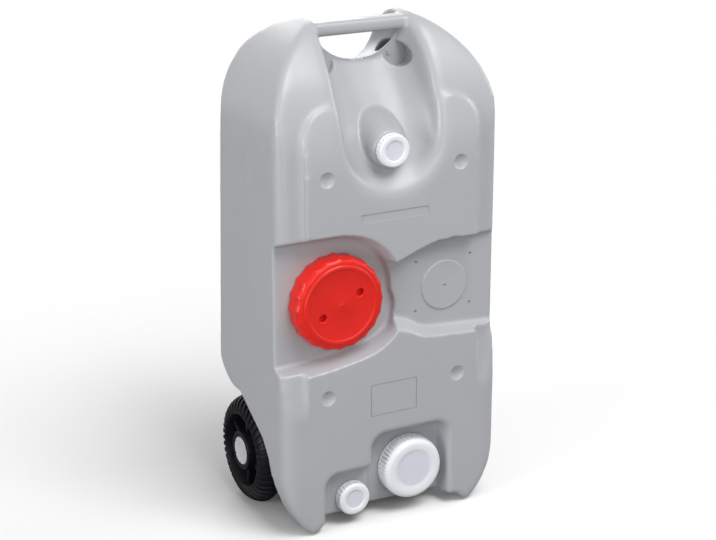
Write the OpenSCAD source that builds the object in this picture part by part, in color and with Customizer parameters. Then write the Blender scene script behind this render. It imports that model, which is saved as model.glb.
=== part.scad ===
// Wheeled water bowser: a blow-moulded upright tank with an integral handle,
// four screw-capped necks on its front and two wheels on a through axle.
// The drawing frame has x to the right as seen from the front, y backwards
// from the raised front panel and z up from the floor.

/* [Tank shell] */
// Overall height of the tank, floor to shoulder tops
tank_h = 737; // [715:1:770]
// Overall width of the tank
tank_w = 352; // [340:1:370]
// Depth from the raised front panel to the back, below where it leans
tank_d = 230; // [222:1:238]
// How far the back leans forwards up to the dome
back_lean = 18; // [10:1:24]
// Height at which the back begins to lean
lean_z = 250; // [240:1:265]
// How far the handle and the shoulders' crest lie in front of the back
crest_inset = 114; // [110:1:118]
// Wall thickness of the blow-moulded shell
wall = 4; // [3:0.5:5]
// Radius of the shoulders, seen from the front
shoulder_r = 150; // [135:1:160]
// Radius of the domed top, seen from the side
dome_r = 160; // [150:1:175]
// How far the dome's crest would reach above the tank's top, which cuts it off
dome_cut = 4.88; // [2:0.01:8]
// Radius of the side walls' lower sweep towards the feet
sweep_r = 135; // [120:1:150]
// Height at which the lower sweep begins
sweep_z = 101; // [92:1:110]
// Radius of the front upright edges
front_edge_r = 14; // [8:1:20]
// Radius of the rear upright edges
rear_edge_r = 12; // [8:1:20]

/* [Front panel] */
// Width of the raised front panel
panel_w = 276; // [262:1:290]
// Height of the panel's top edge
panel_top = 632; // [620:1:645]
// Radius of the panel's top corners
panel_corner_r = 48; // [30:1:60]
// How far the panel stands proud of the border round it
panel_step = 12; // [8:1:16]
// Diameter of the round dents on the panel
dent_d = 23; // [16:1:30]
// Depth of the round dents
dent_depth = 2; // [1:0.5:3]
// Distance from the middle to each dent, along the width
dent_x = 106; // [95:1:115]
// Height of the lower pair of dents
dent_low_z = 212; // [200:1:225]
// Height of the upper pair of dents
dent_high_z = 534; // [520:1:550]

/* [Saddle and handle] */
// Width of the saddle channel between the shoulders
saddle_w = 136; // [126:1:146]
// Radius of the channel's lower corners
saddle_round = 52; // [40:1:60]
// Height of the saddle's crest under the handle
saddle_z = 672; // [664:1:680]
// Height of the saddle's rim on the back
saddle_back_z = 640; // [620:1:655]
// Height of the lower rim of the bowl in front of the saddle
bowl_rim_z = 503; // [495:1:512]
// Depth of the bowl behind the panel
bowl_depth = 44; // [38:1:50]
// Height over which the bowl drops from its lower rim
bowl_drop = 26; // [20:1:34]
// Share of the bowl's depth that the drop takes
bowl_knee = 0.8; // [0.7:0.05:0.9]
// Clear height between the saddle and the handle
finger_gap = 37; // [33:1:40]
// Depth of the handle bar, front to back
handle_d = 30; // [24:1:36]
// Height of the handle bar
handle_h = 20; // [16:1:22]
// Radius of the handle bar's edges
handle_edge_r = 8; // [5:0.5:8]

/* [Recesses] */
// Distance from the tank's left side to the round recess's middle
recess_inset = 88; // [84:1:94]
// Radius of the round recess for the inspection cap
recess_r = 93; // [86:1:98]
// Height of the middle of the round recess
recess_z = 358; // [350:1:366]
// Depth of the round recess behind the panel
recess_depth = 31; // [27:1:36]
// Height of the accessory recess's lower edge
side_recess_low = 284; // [275:1:292]
// Height of the accessory recess's upper edge
side_recess_high = 422; // [412:1:432]
// Depth of the accessory recess behind the panel
side_recess_depth = 21; // [16:1:26]
// Height of the accessory recess where it meets the round one
throat_h = 88; // [76:1:100]
// Width over which the accessory recess opens to its full height
throat_w = 60; // [40:1:80]
// Diameter of the flat accessory pad
pad_d = 76; // [60:1:90]
// Distance from the tank's right side to the accessory pad's middle
pad_inset = 83; // [76:1:91]
// Height of the accessory pad
pad_z = 346; // [340:1:354]
// How far the pad stands off its recess
pad_step = 2; // [1:0.5:4]
// Radius of the drain pockets' upper corners
pocket_corner_r = 22; // [14:1:26]
// Half width of the large drain pocket
large_pocket_half = 66; // [60:1:70]
// Height of the large drain pocket's upper edge
large_pocket_top = 141; // [132:1:150]
// Depth of the large drain pocket behind the panel
large_pocket_depth = 31; // [27:1:36]
// How far the large pocket's middle lies to the left of its cap
large_pocket_offset = 7; // [0:1:10]
// Half width of the small drain pocket
small_pocket_half = 48; // [44:1:52]
// Height of the small drain pocket's upper edge
small_pocket_top = 92; // [86:1:98]
// Depth of the small drain pocket behind the panel
small_pocket_depth = 22; // [19:1:26]
// How far the small pocket's middle lies to the left of its cap
small_pocket_offset = 4; // [0:1:6]

/* [Feet and belly] */
// Height at which the border begins to swell forwards to the foot
skirt_top = 262; // [254:1:264]
// Height over which the border swells to the panel's level
skirt_fade = 72; // [50:1:90]
// Width between the insides of the two feet
foot_gap = 224; // [210:1:234]
// Depth of each foot behind the panel
foot_d = 34; // [30:1:38]
// Height of the belly above the floor
belly_z = 17; // [14:1:19]
// Radius of the belly's rear lower edge
belly_r = 56; // [45:1:65]
// Distance from a foot's back to the front end of the wheel bay
toe_gap = 2; // [1:1:6]

/* [Wheels and axle] */
// Diameter of each wheel
wheel_d = 164; // [156:1:170]
// Width of each wheel
wheel_w = 44; // [40:1:48]
// Diameter of the axle rod
axle_d = 12; // [10:0.5:14]
// Distance from the axle's middle to the flat back
axle_inset = 70; // [64:1:74]
// Distance from the tank's side to the wheel's outer face
wheel_inset = 2; // [1:1:6]
// Gap between the wheel's tread and its bay
bay_gap = 6; // [4:1:10]
// Slope of the bay's hood over the wheel, in degrees
bay_slope = 30.6; // [28:0.1:33]
// Height of the bend in the bay's front edge above the foot
shin_z = 112; // [104:1:118]
// Distance from the foot's back to that bend
shin_run = 24; // [18:1:28]
// Radius of the rear corner of the side wall over the wheel
bay_corner_r = 70; // [62:1:76]
// How far that corner's curve reaches past the back
bay_edge = 3; // [2:1:6]
// Radius of the tread's rounded shoulders
tread_round = 18; // [15:0.5:20]
// Thickness of the rim under the tread
rim_t = 29; // [26:1:32]
// Thickness of the wheel's side disc
web_t = 12; // [8:1:14]
// Distance from the wheel's inner face to its side disc
web_x = 9; // [6:1:12]
// Number of cross ribs on the tread
tread_ribs = 40; // [30:1:48]
// Depth of the grooves between the ribs
groove_depth = 2.5; // [1.5:0.5:3.5]
// Width of each step of the ribs over the tread's shoulders
rib_step = 5.5; // [4:0.5:6]
// Share of its pitch that a tread rib's crest takes
rib_land = 0.4; // [0.3:0.05:0.5]
// Diameter of the hub's raised ring
hub_d = 60; // [56:1:66]
// Diameter of the hub cap
hub_cap_d = 42; // [38:1:46]
// Thickness of the hub cap
hub_cap_t = 5; // [4:0.5:6]
// Wall of the hub cap's skirt
hub_cap_wall = 3; // [2:0.5:4]
// How far the axle's ends stand past their retainers
axle_stub = 2; // [1:0.5:3]
// Thickness of each axle washer
washer_t = 1.6; // [1:0.1:2.5]
// Diameter of each axle washer
washer_d = 26; // [22:1:30]
// Height of the push-on axle retainer
retainer_h = 5; // [4:0.5:6]
// Diameter of the push-on axle retainer
retainer_d = 22; // [19:1:26]

/* [Inspection cap] */
// Diameter of the inspection cap over its grip lobes
inspection_d = 140; // [132:1:146]
// Height of the inspection cap
inspection_h = 31; // [27:1:36]
// Thickness of the inspection cap's skirt, lobes included
inspection_skirt = 7; // [6:0.5:8]
// Distance from the tank's left side to the inspection cap's middle
inspection_inset = 92; // [88:1:97]
// Height of the inspection cap's middle
inspection_z = 349; // [345:1:355]
// Number of grip lobes on the inspection cap
grip_lobes = 20; // [16:1:26]
// Depth of the scallops between the lobes
scallop = 3; // [2:0.5:3.5]
// Radius of the rounded edge of the cap's face
grip_round = 8; // [5:0.5:10]
// Distance of each spanner hole from the cap's middle
spanner_x = 33; // [28:1:36]
// Angle of the line through the spanner holes
spanner_angle = 27; // [0:1:90]
// Depth of the spanner holes
spanner_depth = 2; // [1:0.5:2.5]
// Diameter of the spanner holes
spanner_d = 12; // [9:0.5:13]

/* [White caps] */
// Diameter of the filler cap
filler_d = 48; // [45:0.5:52]
// Height of the filler cap
filler_h = 12; // [11:0.5:15]
// Height of the filler cap's middle
filler_z = 562; // [557:1:567]
// Depth of the spout boss's face behind the panel
boss_face = 14; // [11:1:18]
// Diameter of the boss's face
boss_d = 56; // [53:1:60]
// How far the boss's side widens to the back, in degrees
boss_draft = 26.6; // [24:0.1:29]
// Diameter of the large drain cap
large_drain_d = 95; // [88:1:100]
// Height of the large drain cap
large_drain_h = 27; // [23:1:31]
// Distance of the large drain cap to the right of the middle
large_drain_x = 37; // [33:1:40]
// Height of the large drain cap's middle
large_drain_z = 70; // [67:1:76]
// Diameter of the small drain cap
small_drain_d = 50.5; // [47:0.5:53]
// Height of the small drain cap
small_drain_h = 15; // [13:0.5:18]
// Distance of the small drain cap to the left of the middle
small_drain_x = 60; // [58:1:64]
// Height of the small drain cap's middle
small_drain_z = 41; // [40:1:46]
// Thickness of the large drain cap's skirt
large_drain_skirt = 4.5; // [4:0.5:6]
// Thickness of the small caps' skirts
small_cap_skirt = 3.5; // [3:0.5:4.5]
// Depth of the dished faces
dish_depth = 1.2; // [0.6:0.1:1.8]
// Spacing of the fine grip ribs
rib_pitch = 4.2; // [3.5:0.1:6]
// Depth of the fine grip ribs
rib_depth = 0.8; // [0.5:0.1:1.2]
// Share of its pitch that a grip rib's crest takes
grip_land = 0.35; // [0.3:0.05:0.45]

/* [Necks and seals] */
// Wall of each neck
neck_wall = 4.5; // [3.5:0.5:5.5]
// Thickness of the face of each cap
cap_top = 3.5; // [3:0.5:5]
// Thickness of each seal ring
seal_t = 2.5; // [2:0.5:4]
// Gap between a cap's skirt and its neck
thread_gap = 0.5; // [0.3:0.1:0.8]
// Gap between a cap's rim and the face that its neck stands on
rim_gap = 0.8; // [0.5:0.1:1.5]

/* [Clearances] */
// Radial gap between the axle and a wheel's bore
running_gap = 0.1; // [0.05:0.01:0.1]
// Radial gap round pieces that are pushed together
push_gap = 0.1; // [0.05:0.01:0.2]
// Gap between faces that turn past each other
side_gap = 0.3; // [0.2:0.1:0.6]

/* [Hidden] */
$fn = 64;

// How far cutting shapes run past the faces that they cut
over = 40;
// The same for small holes
run_out = 1;
half_w = tank_w / 2;
inspection_x = half_w - inspection_inset;
recess_x = half_w - recess_inset;
pad_x = half_w - pad_inset;
border_y = panel_step;
part_y = tank_d - crest_inset;
// Height at which the front and back begin to dome inwards
dome_z = tank_h + dome_cut - sqrt(pow(dome_r, 2) - pow(dome_r + border_y - part_y, 2));
// The shell is parted a little behind its crest, clear of the outline corners
split_y = part_y + wall / 2;
// Heights between the front's three parts, clear of the pockets, recesses and bowl
foot_level = large_pocket_top + pocket_corner_r / 2;
top_level = bowl_rim_z - pocket_corner_r;
foot_back = foot_d;

wheel_r = wheel_d / 2;
axle_r = axle_d / 2;
axle_y = tank_d - axle_inset;
axle_z = wheel_r;
wheel_out_x = half_w - wheel_inset;
wheel_in_x = wheel_out_x - wheel_w;
bay_r = wheel_r + bay_gap;
bay_top_z = axle_z + bay_r * (cos(bay_slope) + sin(bay_slope) / 2);
lean = atan(back_lean / (dome_z - lean_z));
bay_x = wheel_in_x - side_gap - washer_t;
tunnel_r = axle_r + side_gap;
hub_r = hub_d / 2;
// How far the hub's ring and cap stand past the tread
hub_face = 0.5;
// Share of its pitch that each flank of a rib takes
rib_flank = 0.12;
hub_len = wheel_w - hub_cap_t - retainer_h - washer_t - 2 * side_gap - axle_stub;
axle_half = wheel_in_x + hub_len + side_gap + washer_t + retainer_h + axle_stub;
rim_r = wheel_r - rim_t;
tread_r = wheel_r - groove_depth;

handle_z = saddle_z + finger_gap + handle_h / 2;
bowl_r = saddle_w / 2;
// How far the channel's cutting shape reaches above its floor
saddle_reach = tank_h / 3 + over;
shoulder_x = half_w - shoulder_r;
shoulder_z = tank_h - sqrt(pow(shoulder_r, 2) - pow(bowl_r - shoulder_x, 2));

// The part stands on the floor with its box centred on the origin.
front_y = recess_depth - rim_gap - inspection_h;
rear_y = max(tank_d, axle_y + wheel_r);
shift_y = -(front_y + rear_y) / 2;

// Points of an arc round a centre, with both ends
function arc(centre, r, from, to, steps = 12) = [
    for (i = [0 : steps])
        let (a = from + (to - from) * i / steps)
        centre + r * [cos(a), sin(a)]
];
function flipped(points) = [
    for (i = [len(points) - 1 : -1 : 0]) [-points[i].x, points[i].y]
];

// Moves a piece from the drawing frame to the part's own frame.
module placed() {
    translate([0, shift_y, 0]) children();
}

// Extrudes an x-z outline along the depth.
module along_y(from, to) {
    translate([0, to, 0]) rotate([90, 0, 0]) linear_extrude(to - from) children();
}

// Extrudes a y-z outline along the width.
module along_x(from, to) {
    translate([from, 0, 0]) rotate([90, 0, 90]) linear_extrude(to - from) children();
}

// Stands a piece on a front face, with its axis pointing forwards.
module facing(x, y, z) {
    translate([x, y, z]) rotate([90, 0, 0]) children();
}

// Puts a piece on the axle line, with its axis pointing out of the side.
module on_axle(side, x) {
    mirror([side < 0 ? 1 : 0, 0, 0]) translate([x, axle_y, axle_z]) rotate([0, 90, 0]) children();
}

// The tank's outlines take an inset, so that the same forms make both the
// outside, at 0, and the hollow, at the wall's thickness.
module front_outline(inset) {
    sweep = sweep_r - inset;
    low = arc([half_w - sweep_r, sweep_z], sweep, -asin((sweep_z - inset) / sweep), 0, 8);
    high = arc([shoulder_x, shoulder_z], shoulder_r - inset, 0, 90, 16);
    right = concat(low, high);
    polygon(concat(right, flipped(right)));
}

module side_outline(inset) {
    r = dome_r - inset;
    crest = acos((part_y - border_y - dome_r) / r);
    front = arc([border_y + dome_r, dome_z], r, 180, crest);
    back_y = tank_d - back_lean - dome_r / cos(lean);
    back = concat(arc([back_y, dome_z], r, acos((part_y - back_y) / r), lean), [[tank_d - inset, lean_z]]);
    belly = arc([tank_d - belly_r, belly_z + belly_r], belly_r - inset, 0, -90);
    foot = [
        [foot_back - inset, belly_z + inset],
        [foot_back - inset, inset],
        [border_y + inset, inset]
    ];
    polygon(concat(front, back, belly, foot));
}

module plan_outline(inset) {
    front = arc([half_w - front_edge_r, border_y + front_edge_r], front_edge_r - inset, -90, 0, 6);
    right = concat(front, [[half_w - inset, tank_d + over]]);
    polygon(concat(right, flipped(right)));
}

// The rear edges' rounding leans with the back.
module rear_outline(inset) {
    corner = arc([half_w - rear_edge_r, -rear_edge_r], rear_edge_r - inset, 0, 90, 8);
    right = concat([[half_w - inset, -tank_d - over]], corner);
    polygon(concat(right, flipped(right)));
}

module core(inset) {
    intersection() {
        along_y(0, tank_d + over) front_outline(inset);
        along_x(-half_w - over, half_w + over) side_outline(inset);
        translate([0, 0, -over]) linear_extrude(tank_h + 2 * over) plan_outline(inset);
        translate([0, tank_d, lean_z]) rotate([lean, 0, 0]) translate([0, 0, -lean_z - over]) {
            linear_extrude(tank_h + 2 * over) rear_outline(inset);
        }
    }
}

// The raised front panel, which domes back with the border.
module panel(inset) {
    back_y = part_y - over / 2;
    half = panel_w / 2;
    r = dome_r + panel_step - inset;
    last = acos((back_y - border_y - dome_r) / r);
    corner = arc([half - panel_corner_r, panel_top - panel_corner_r], panel_corner_r - inset, 0, 90, 8);
    right = concat([[half - inset, belly_z + inset]], corner);
    face = concat([[inset, 0]], arc([border_y + dome_r, dome_z], r, 180, last), [[back_y, 0]]);
    intersection() {
        along_y(-over, part_y) polygon(concat(right, flipped(right)));
        along_x(-half_w, half_w) polygon(face);
    }
}

// The lower front, where the border swells forwards to the panel's level.
module skirt(inset) {
    top = skirt_top - inset;
    intersection() {
        translate([0, -panel_step, 0]) core(inset);
        along_x(-half_w, half_w) polygon([
            [-over, -over],
            [-over, top - skirt_fade],
            [0, top - skirt_fade],
            [border_y + inset, top],
            [part_y, top],
            [part_y, -over]
        ]);
    }
}

// The channel that runs up the front from the bowl, over the saddle and
// down the back, between the two shoulders.
module saddle_cut(inset) {
    floor = [
        [-over, bowl_rim_z - inset],
        [inset, bowl_rim_z - inset],
        [bowl_depth * bowl_knee + inset, bowl_rim_z + bowl_drop - inset],
        [bowl_depth + inset, bowl_rim_z + bowl_r - inset],
        [part_y, saddle_z - inset],
        [tank_d - inset, saddle_back_z - inset],
        [tank_d + over, saddle_back_z - inset]
    ];
    last = len(floor) - 2;
    for (i = [0 : last]) {
        before = i > 0 ? lap(floor, i - 1) : 0;
        after = i < last ? lap(floor, i) : 0;
        saddle_run(floor[i], floor[i + 1], bowl_r + inset, saddle_round + inset, before, after);
    }
}

// Slope of one run of the floor, and how far it laps the next where the floor bends down.
function run_slope(floor, i) = atan2(floor[i + 1][1] - floor[i][1], floor[i + 1][0] - floor[i][0]);
function lap(floor, i) = run_slope(floor, i) > run_slope(floor, i + 1) ? run_out : 0;

// One straight run of the channel, with an upright U for its section.
module saddle_run(from, to, half, r, before, after) {
    slope = run_slope([from, to], 0);
    flat = half - r;
    u = concat(arc([-flat, r], r, 180, 270, 8), arc([flat, r], r, 270, 360, 8));
    section = concat(u, [[half, saddle_reach], [-half, saddle_reach]]);
    intersection() {
        translate([-half_w, from[0] - before, 0]) {
            cube([tank_w, to[0] - from[0] + before + after, tank_h + over]);
        }
        translate([0, from[0], from[1]]) rotate([slope, 0, 0]) along_y(-saddle_reach, 2 * saddle_reach) {
            scale([1, cos(slope)]) polygon(section);
        }
    }
}

// The round recess of the inspection cap, which runs out of the left side.
module round_recess(inset) {
    r = recess_r + inset;
    along_y(-over, recess_depth + inset) {
        translate([-recess_x, recess_z]) circle(r, $fn = 96);
        translate([-half_w - over, recess_z - r]) square([half_w + over - recess_x, 2 * r]);
    }
}

// The shallower accessory recess, which runs out of the right side.
module side_recess(inset) {
    start = recess_r - recess_x - throat_w / 2;
    middle = (side_recess_low + side_recess_high) / 2;
    low = side_recess_low - inset;
    high = side_recess_high + inset;
    throat = throat_h / 2 + inset;
    along_y(-over, side_recess_depth + inset) polygon([
        [start, middle - throat],
        [start + throat_w / 2, middle - throat],
        [start + throat_w * 1.5, low],
        [half_w + over, low],
        [half_w + over, high],
        [start + throat_w * 1.5, high],
        [start + throat_w / 2, middle + throat],
        [start, middle + throat]
    ]);
}

// A drain cap's pocket, open at the bottom edge, with rounded upper corners.
module drain_pocket(x, half, top, depth, inset) {
    r = pocket_corner_r;
    corner = arc([half - r, top - r], r + inset, 0, 90, 8);
    right = concat([[half + inset, -over]], corner);
    along_y(-over, depth + inset) translate([x, 0]) polygon(concat(right, flipped(right)));
}

// The wheel bay's outline, which sweeps from the foot over the wheel to the back.
module bay_outline(inset) {
    lip_z = bay_top_z + bay_corner_r;
    corner = arc([tank_d - bay_corner_r + bay_edge, lip_z], bay_corner_r - inset, -90, 0, 8);
    normal = [-sin(bay_slope), cos(bay_slope)];
    along = [cos(bay_slope), sin(bay_slope)];
    nearest = [axle_y, axle_z] + (bay_r + inset) * normal;
    hood = [nearest - bay_r / 2 * along, nearest + bay_r / 2 * along];
    lip = [[tank_d + over, lip_z], [tank_d + over, -over]];
    toe_y = foot_back + toe_gap - inset;
    toe = [[toe_y, -over], [toe_y, shin_z / 2]];
    shin = [[foot_back + shin_run - inset, shin_z]];
    polygon(concat(hood, corner, lip, toe, shin));
}

module cuts(inset) {
    saddle_cut(inset);
    round_recess(inset);
    side_recess(inset);
    large_x = large_drain_x - large_pocket_offset;
    small_x = -small_drain_x - small_pocket_offset;
    drain_pocket(large_x, large_pocket_half, large_pocket_top, large_pocket_depth, inset);
    drain_pocket(small_x, small_pocket_half, small_pocket_top, small_pocket_depth, inset);
    for (side = [0, 1]) mirror([side, 0, 0]) along_x(bay_x - inset, half_w + over) bay_outline(inset);
    translate([-foot_gap / 2 - inset, -over, -over]) {
        cube([foot_gap + 2 * inset, tank_d + 2 * over, belly_z + over + inset]);
    }
    translate([-half_w - over, axle_y, axle_z]) rotate([0, 90, 0]) {
        cylinder(r = tunnel_r + inset, h = tank_w + 2 * over);
    }
}

// The conical boss in the bowl that carries the filler neck.
module boss(inset) {
    r = boss_d / 2 - inset / cos(boss_draft);
    length = part_y - boss_face - inset;
    translate([0, boss_face + inset, filler_z]) rotate([-90, 0, 0]) {
        cylinder(r1 = r + inset * tan(boss_draft), r2 = r + (length + inset) * tan(boss_draft), h = length);
    }
}

// The handle bar between the shoulders, kept inside the tank's outline.
module handle(inset) {
    y = handle_d / 2 - handle_edge_r;
    z = handle_h / 2 - handle_edge_r;
    r = handle_edge_r - inset;
    outline = concat(
        arc([part_y + y, handle_z + z], r, 0, 90, 6),
        arc([part_y - y, handle_z + z], r, 90, 180, 6),
        arc([part_y - y, handle_z - z], r, 180, 270, 6),
        arc([part_y + y, handle_z - z], r, 270, 360, 6)
    );
    intersection() {
        core(inset);
        along_x(-bowl_r - over, bowl_r + over) polygon(outline);
    }
}

module form(inset) {
    difference() {
        union() {
            core(inset);
            skirt(inset);
            panel(inset);
        }
        cuts(inset);
    }
    boss(inset);
    handle(inset);
}

// A closure's sizes follow from its cap and skirt.
function neck_r(cap_d, skirt) = cap_d / 2 - skirt - thread_gap;
function bore_r(cap_d, skirt) = neck_r(cap_d, skirt) - neck_wall;
function neck_len(cap_h) = rim_gap + cap_h - cap_top - seal_t;

module neck_bore(cap_d, cap_h, skirt) {
    translate([0, 0, -wall - run_out]) {
        cylinder(r = bore_r(cap_d, skirt), h = neck_len(cap_h) + wall + 2 * run_out);
    }
}

// The collar of a neck, which stands on the tank's wall.
module collar(cap_d, cap_h, skirt) {
    difference() {
        cylinder(r = neck_r(cap_d, skirt), h = neck_len(cap_h));
        neck_bore(cap_d, cap_h, skirt);
    }
}

module seal(cap_d, cap_h, skirt) {
    translate([0, 0, neck_len(cap_h)]) difference() {
        cylinder(r = neck_r(cap_d, skirt), h = seal_t);
        translate([0, 0, -run_out]) cylinder(r = bore_r(cap_d, skirt), h = seal_t + 2 * run_out);
    }
}

// The space under a cap's face that takes its neck and seal.
module cap_hollow(cap_d, cap_h, skirt) {
    cylinder(r = cap_d / 2 - skirt, h = rim_gap + cap_h - cap_top);
}

// Each closure stands at its own place on the front.
module at_inspection() {
    facing(-inspection_x, recess_depth, inspection_z) children();
}

module at_filler() {
    facing(0, boss_face, filler_z) children();
}

module at_large_drain() {
    facing(large_drain_x, large_pocket_depth, large_drain_z) children();
}

module at_small_drain() {
    facing(-small_drain_x, small_pocket_depth, small_drain_z) children();
}

module dents() {
    ball_r = (dent_d * dent_d / 4 + dent_depth * dent_depth) / (2 * dent_depth);
    for (x = [-dent_x, dent_x], z = [dent_low_z, dent_high_z]) {
        translate([x, dent_depth - ball_r, z]) sphere(ball_r);
    }
}

// The whole shell, with a hole under each collar.
module shell() {
    difference() {
        union() {
            form(0);
            facing(pad_x, side_recess_depth, pad_z) cylinder(d = pad_d, h = pad_step);
        }
        form(wall);
        at_inspection() neck_bore(inspection_d, inspection_h, inspection_skirt);
        at_filler() neck_bore(filler_d, filler_h, small_cap_skirt);
        at_large_drain() neck_bore(large_drain_d, large_drain_h, large_drain_skirt);
        at_small_drain() neck_bore(small_drain_d, small_drain_h, small_cap_skirt);
        dents();
    }
}

// The shell is one moulding, kept as four parts that meet face to face: the
// back just behind the crest, and three levels of the front.
module shell_part(y_from, y_to, z_from, z_to) {
    color("silver") placed() intersection() {
        shell();
        translate([-half_w - over, y_from, z_from]) cube([tank_w + 2 * over, y_to - y_from, z_to - z_from]);
    }
}

module tank_top() {
    shell_part(-over, split_y, top_level, tank_h + over);
}

module tank_middle() {
    shell_part(-over, split_y, foot_level, top_level);
}

module tank_foot() {
    shell_part(-over, split_y, -over, foot_level);
}

module tank_back() {
    shell_part(split_y, tank_d + over, -over, tank_h + over);
}

module inspection_collar() {
    color("silver") placed() at_inspection() collar(inspection_d, inspection_h, inspection_skirt);
}

module filler_collar() {
    color("silver") placed() at_filler() collar(filler_d, filler_h, small_cap_skirt);
}

module large_drain_collar() {
    color("silver") placed() at_large_drain() collar(large_drain_d, large_drain_h, large_drain_skirt);
}

module small_drain_collar() {
    color("silver") placed() at_small_drain() collar(small_drain_d, small_drain_h, small_cap_skirt);
}

module axle() {
    color("lightsteelblue") placed() on_axle(1, -axle_half) {
        cylinder(r = axle_r, h = 2 * axle_half);
    }
}

// The wheel's half section, from its bore to its rounded tread.
module wheel_section() {
    bore = axle_r + running_gap;
    socket = hub_cap_d / 2 + push_gap;
    seat = hub_cap_d / 2 - 1;
    seat_z = wheel_w - hub_cap_t;
    outer = wheel_w + hub_face;
    web_out = web_x + web_t;
    flare = 4;
    polygon(concat(
        [[bore, 0], [hub_r - flare, 0], [hub_r, web_x], [rim_r, web_x], [rim_r + flare, 1]],
        arc([tread_r - tread_round, tread_round], tread_round, -75, 0, 8),
        arc([tread_r - tread_round, wheel_w - tread_round], tread_round, 0, 75, 8),
        [[rim_r + flare, wheel_w - 1], [rim_r, web_out], [hub_r, web_out]],
        [[hub_r, outer - 1], [hub_r - 1, outer], [socket, outer], [socket, seat_z]],
        [[seat, seat_z], [seat, hub_len], [bore, hub_len]]
    ));
}

// A ring of teeth, which sinks into the round body that carries it.
module toothed_ring(r, depth, teeth, land) {
    step = 360 / teeth;
    top = step * land / 2;
    flank = step * rib_flank;
    root = r - depth - 1;
    difference() {
        polygon([
            for (i = [0 : teeth - 1])
                for (p = [[-top - flank, root], [-top, r], [top, r], [top + flank, root]])
                    p[1] * [cos(i * step + p[0]), sin(i * step + p[0])]
        ]);
        circle(root - 1, $fn = 96);
    }
}

// The cross ribs run over the tread's shoulders in three steps.
module tread() {
    for (i = [0 : 2]) {
        from = tread_round + 1 - rib_step * i;
        r = wheel_r - i * (i + 1) / 2;
        translate([0, 0, from]) linear_extrude(wheel_w - 2 * from) {
            toothed_ring(r, groove_depth + 2 * i, tread_ribs, rib_land);
        }
    }
}

module wheel(side) {
    color("dimgray") placed() on_axle(side, wheel_in_x) {
        rotate_extrude($fn = 96) wheel_section();
        tread();
    }
}

module wheel_left() {
    wheel(-1);
}

module wheel_right() {
    wheel(1);
}

module hub_cap(side) {
    notch = 3;
    color("gainsboro") placed() on_axle(side, wheel_in_x + wheel_w - hub_cap_t) difference() {
        cylinder(d = hub_cap_d, h = hub_cap_t + hub_face);
        translate([0, 0, -run_out]) cylinder(d = hub_cap_d - 2 * hub_cap_wall, h = hub_cap_t - run_out);
        for (i = [0 : 5]) rotate(i * 60) translate([hub_cap_d / 2 - 1, -notch / 2, hub_cap_t - 1]) {
            cube([notch, notch, notch]);
        }
    }
}

module hub_cap_left() {
    hub_cap(-1);
}

module hub_cap_right() {
    hub_cap(1);
}

module washer(side, x) {
    color("darkgray") placed() on_axle(side, x) difference() {
        cylinder(d = washer_d, h = washer_t);
        translate([0, 0, -run_out]) cylinder(r = axle_r + push_gap, h = washer_t + 2 * run_out);
    }
}

module inner_washer_left() {
    washer(-1, bay_x);
}

module inner_washer_right() {
    washer(1, bay_x);
}

module outer_washer_left() {
    washer(-1, wheel_in_x + hub_len + side_gap);
}

module outer_washer_right() {
    washer(1, wheel_in_x + hub_len + side_gap);
}

// A push-on retainer: a flange with a domed collar that grips the rod.
module retainer(side) {
    color("lightgray") placed() on_axle(side, wheel_in_x + hub_len + side_gap + washer_t) difference() {
        union() {
            cylinder(d = retainer_d, h = retainer_h / 3);
            cylinder(d1 = retainer_d - 2, d2 = axle_d + 4, h = retainer_h);
        }
        translate([0, 0, -run_out]) cylinder(r = axle_r + push_gap / 2, h = retainer_h + 2 * run_out);
    }
}

module retainer_left() {
    retainer(-1);
}

module retainer_right() {
    retainer(1);
}

// The grip outline of a cap: a circle whose radius swings in and out.
module grip_outline(cap_d, lobes, depth) {
    steps = 6 * lobes;
    polygon([
        for (i = [0 : steps - 1])
            let (a = 360 * i / steps)
            (cap_d / 2 - depth * (1 - cos(lobes * a)) / 2) * [cos(a), sin(a)]
    ]);
}

// A round cap blank with a rounded upper edge.
module cap_blank(r, cap_h, edge_r) {
    edge = arc([r - edge_r, cap_h - edge_r], edge_r, 0, 90, 8);
    rotate_extrude($fn = 96) polygon(concat([[0, 0], [r, 0]], edge, [[0, cap_h]]));
}

module inspection_cap() {
    face = rim_gap + inspection_h;
    color("red") placed() at_inspection() difference() {
        translate([0, 0, rim_gap]) intersection() {
            linear_extrude(inspection_h + run_out) grip_outline(inspection_d, grip_lobes, scallop);
            cap_blank(inspection_d / 2, inspection_h, grip_round);
        }
        cap_hollow(inspection_d, inspection_h, inspection_skirt);
        for (turn = [0, 180]) rotate(spanner_angle + turn) {
            translate([spanner_x, 0, face - spanner_depth]) {
                cylinder(d = spanner_d, h = spanner_depth + run_out);
            }
        }
    }
}

module inspection_seal() {
    color("dimgray") placed() at_inspection() seal(inspection_d, inspection_h, inspection_skirt);
}

// A white cap with a finely ribbed side and a dished face.
module ribbed_cap(cap_d, cap_h, skirt) {
    edge_r = cap_h / 4;
    ribs = round(PI * cap_d / rib_pitch);
    difference() {
        translate([0, 0, rim_gap]) {
            cap_blank(cap_d / 2 - rib_depth, cap_h, edge_r);
            translate([0, 0, 1]) linear_extrude(cap_h - edge_r - 1.5) {
                toothed_ring(cap_d / 2, rib_depth, ribs, grip_land);
            }
        }
        cap_hollow(cap_d, cap_h, skirt);
        translate([0, 0, rim_gap + cap_h - dish_depth]) {
            cylinder(r = cap_d / 2 - edge_r - 2, h = dish_depth + run_out);
        }
    }
}

module filler_cap() {
    color("white") placed() at_filler() ribbed_cap(filler_d, filler_h, small_cap_skirt);
}

module filler_seal() {
    color("dimgray") placed() at_filler() seal(filler_d, filler_h, small_cap_skirt);
}

module large_drain_cap() {
    color("white") placed() at_large_drain() {
        ribbed_cap(large_drain_d, large_drain_h, large_drain_skirt);
    }
}

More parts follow.
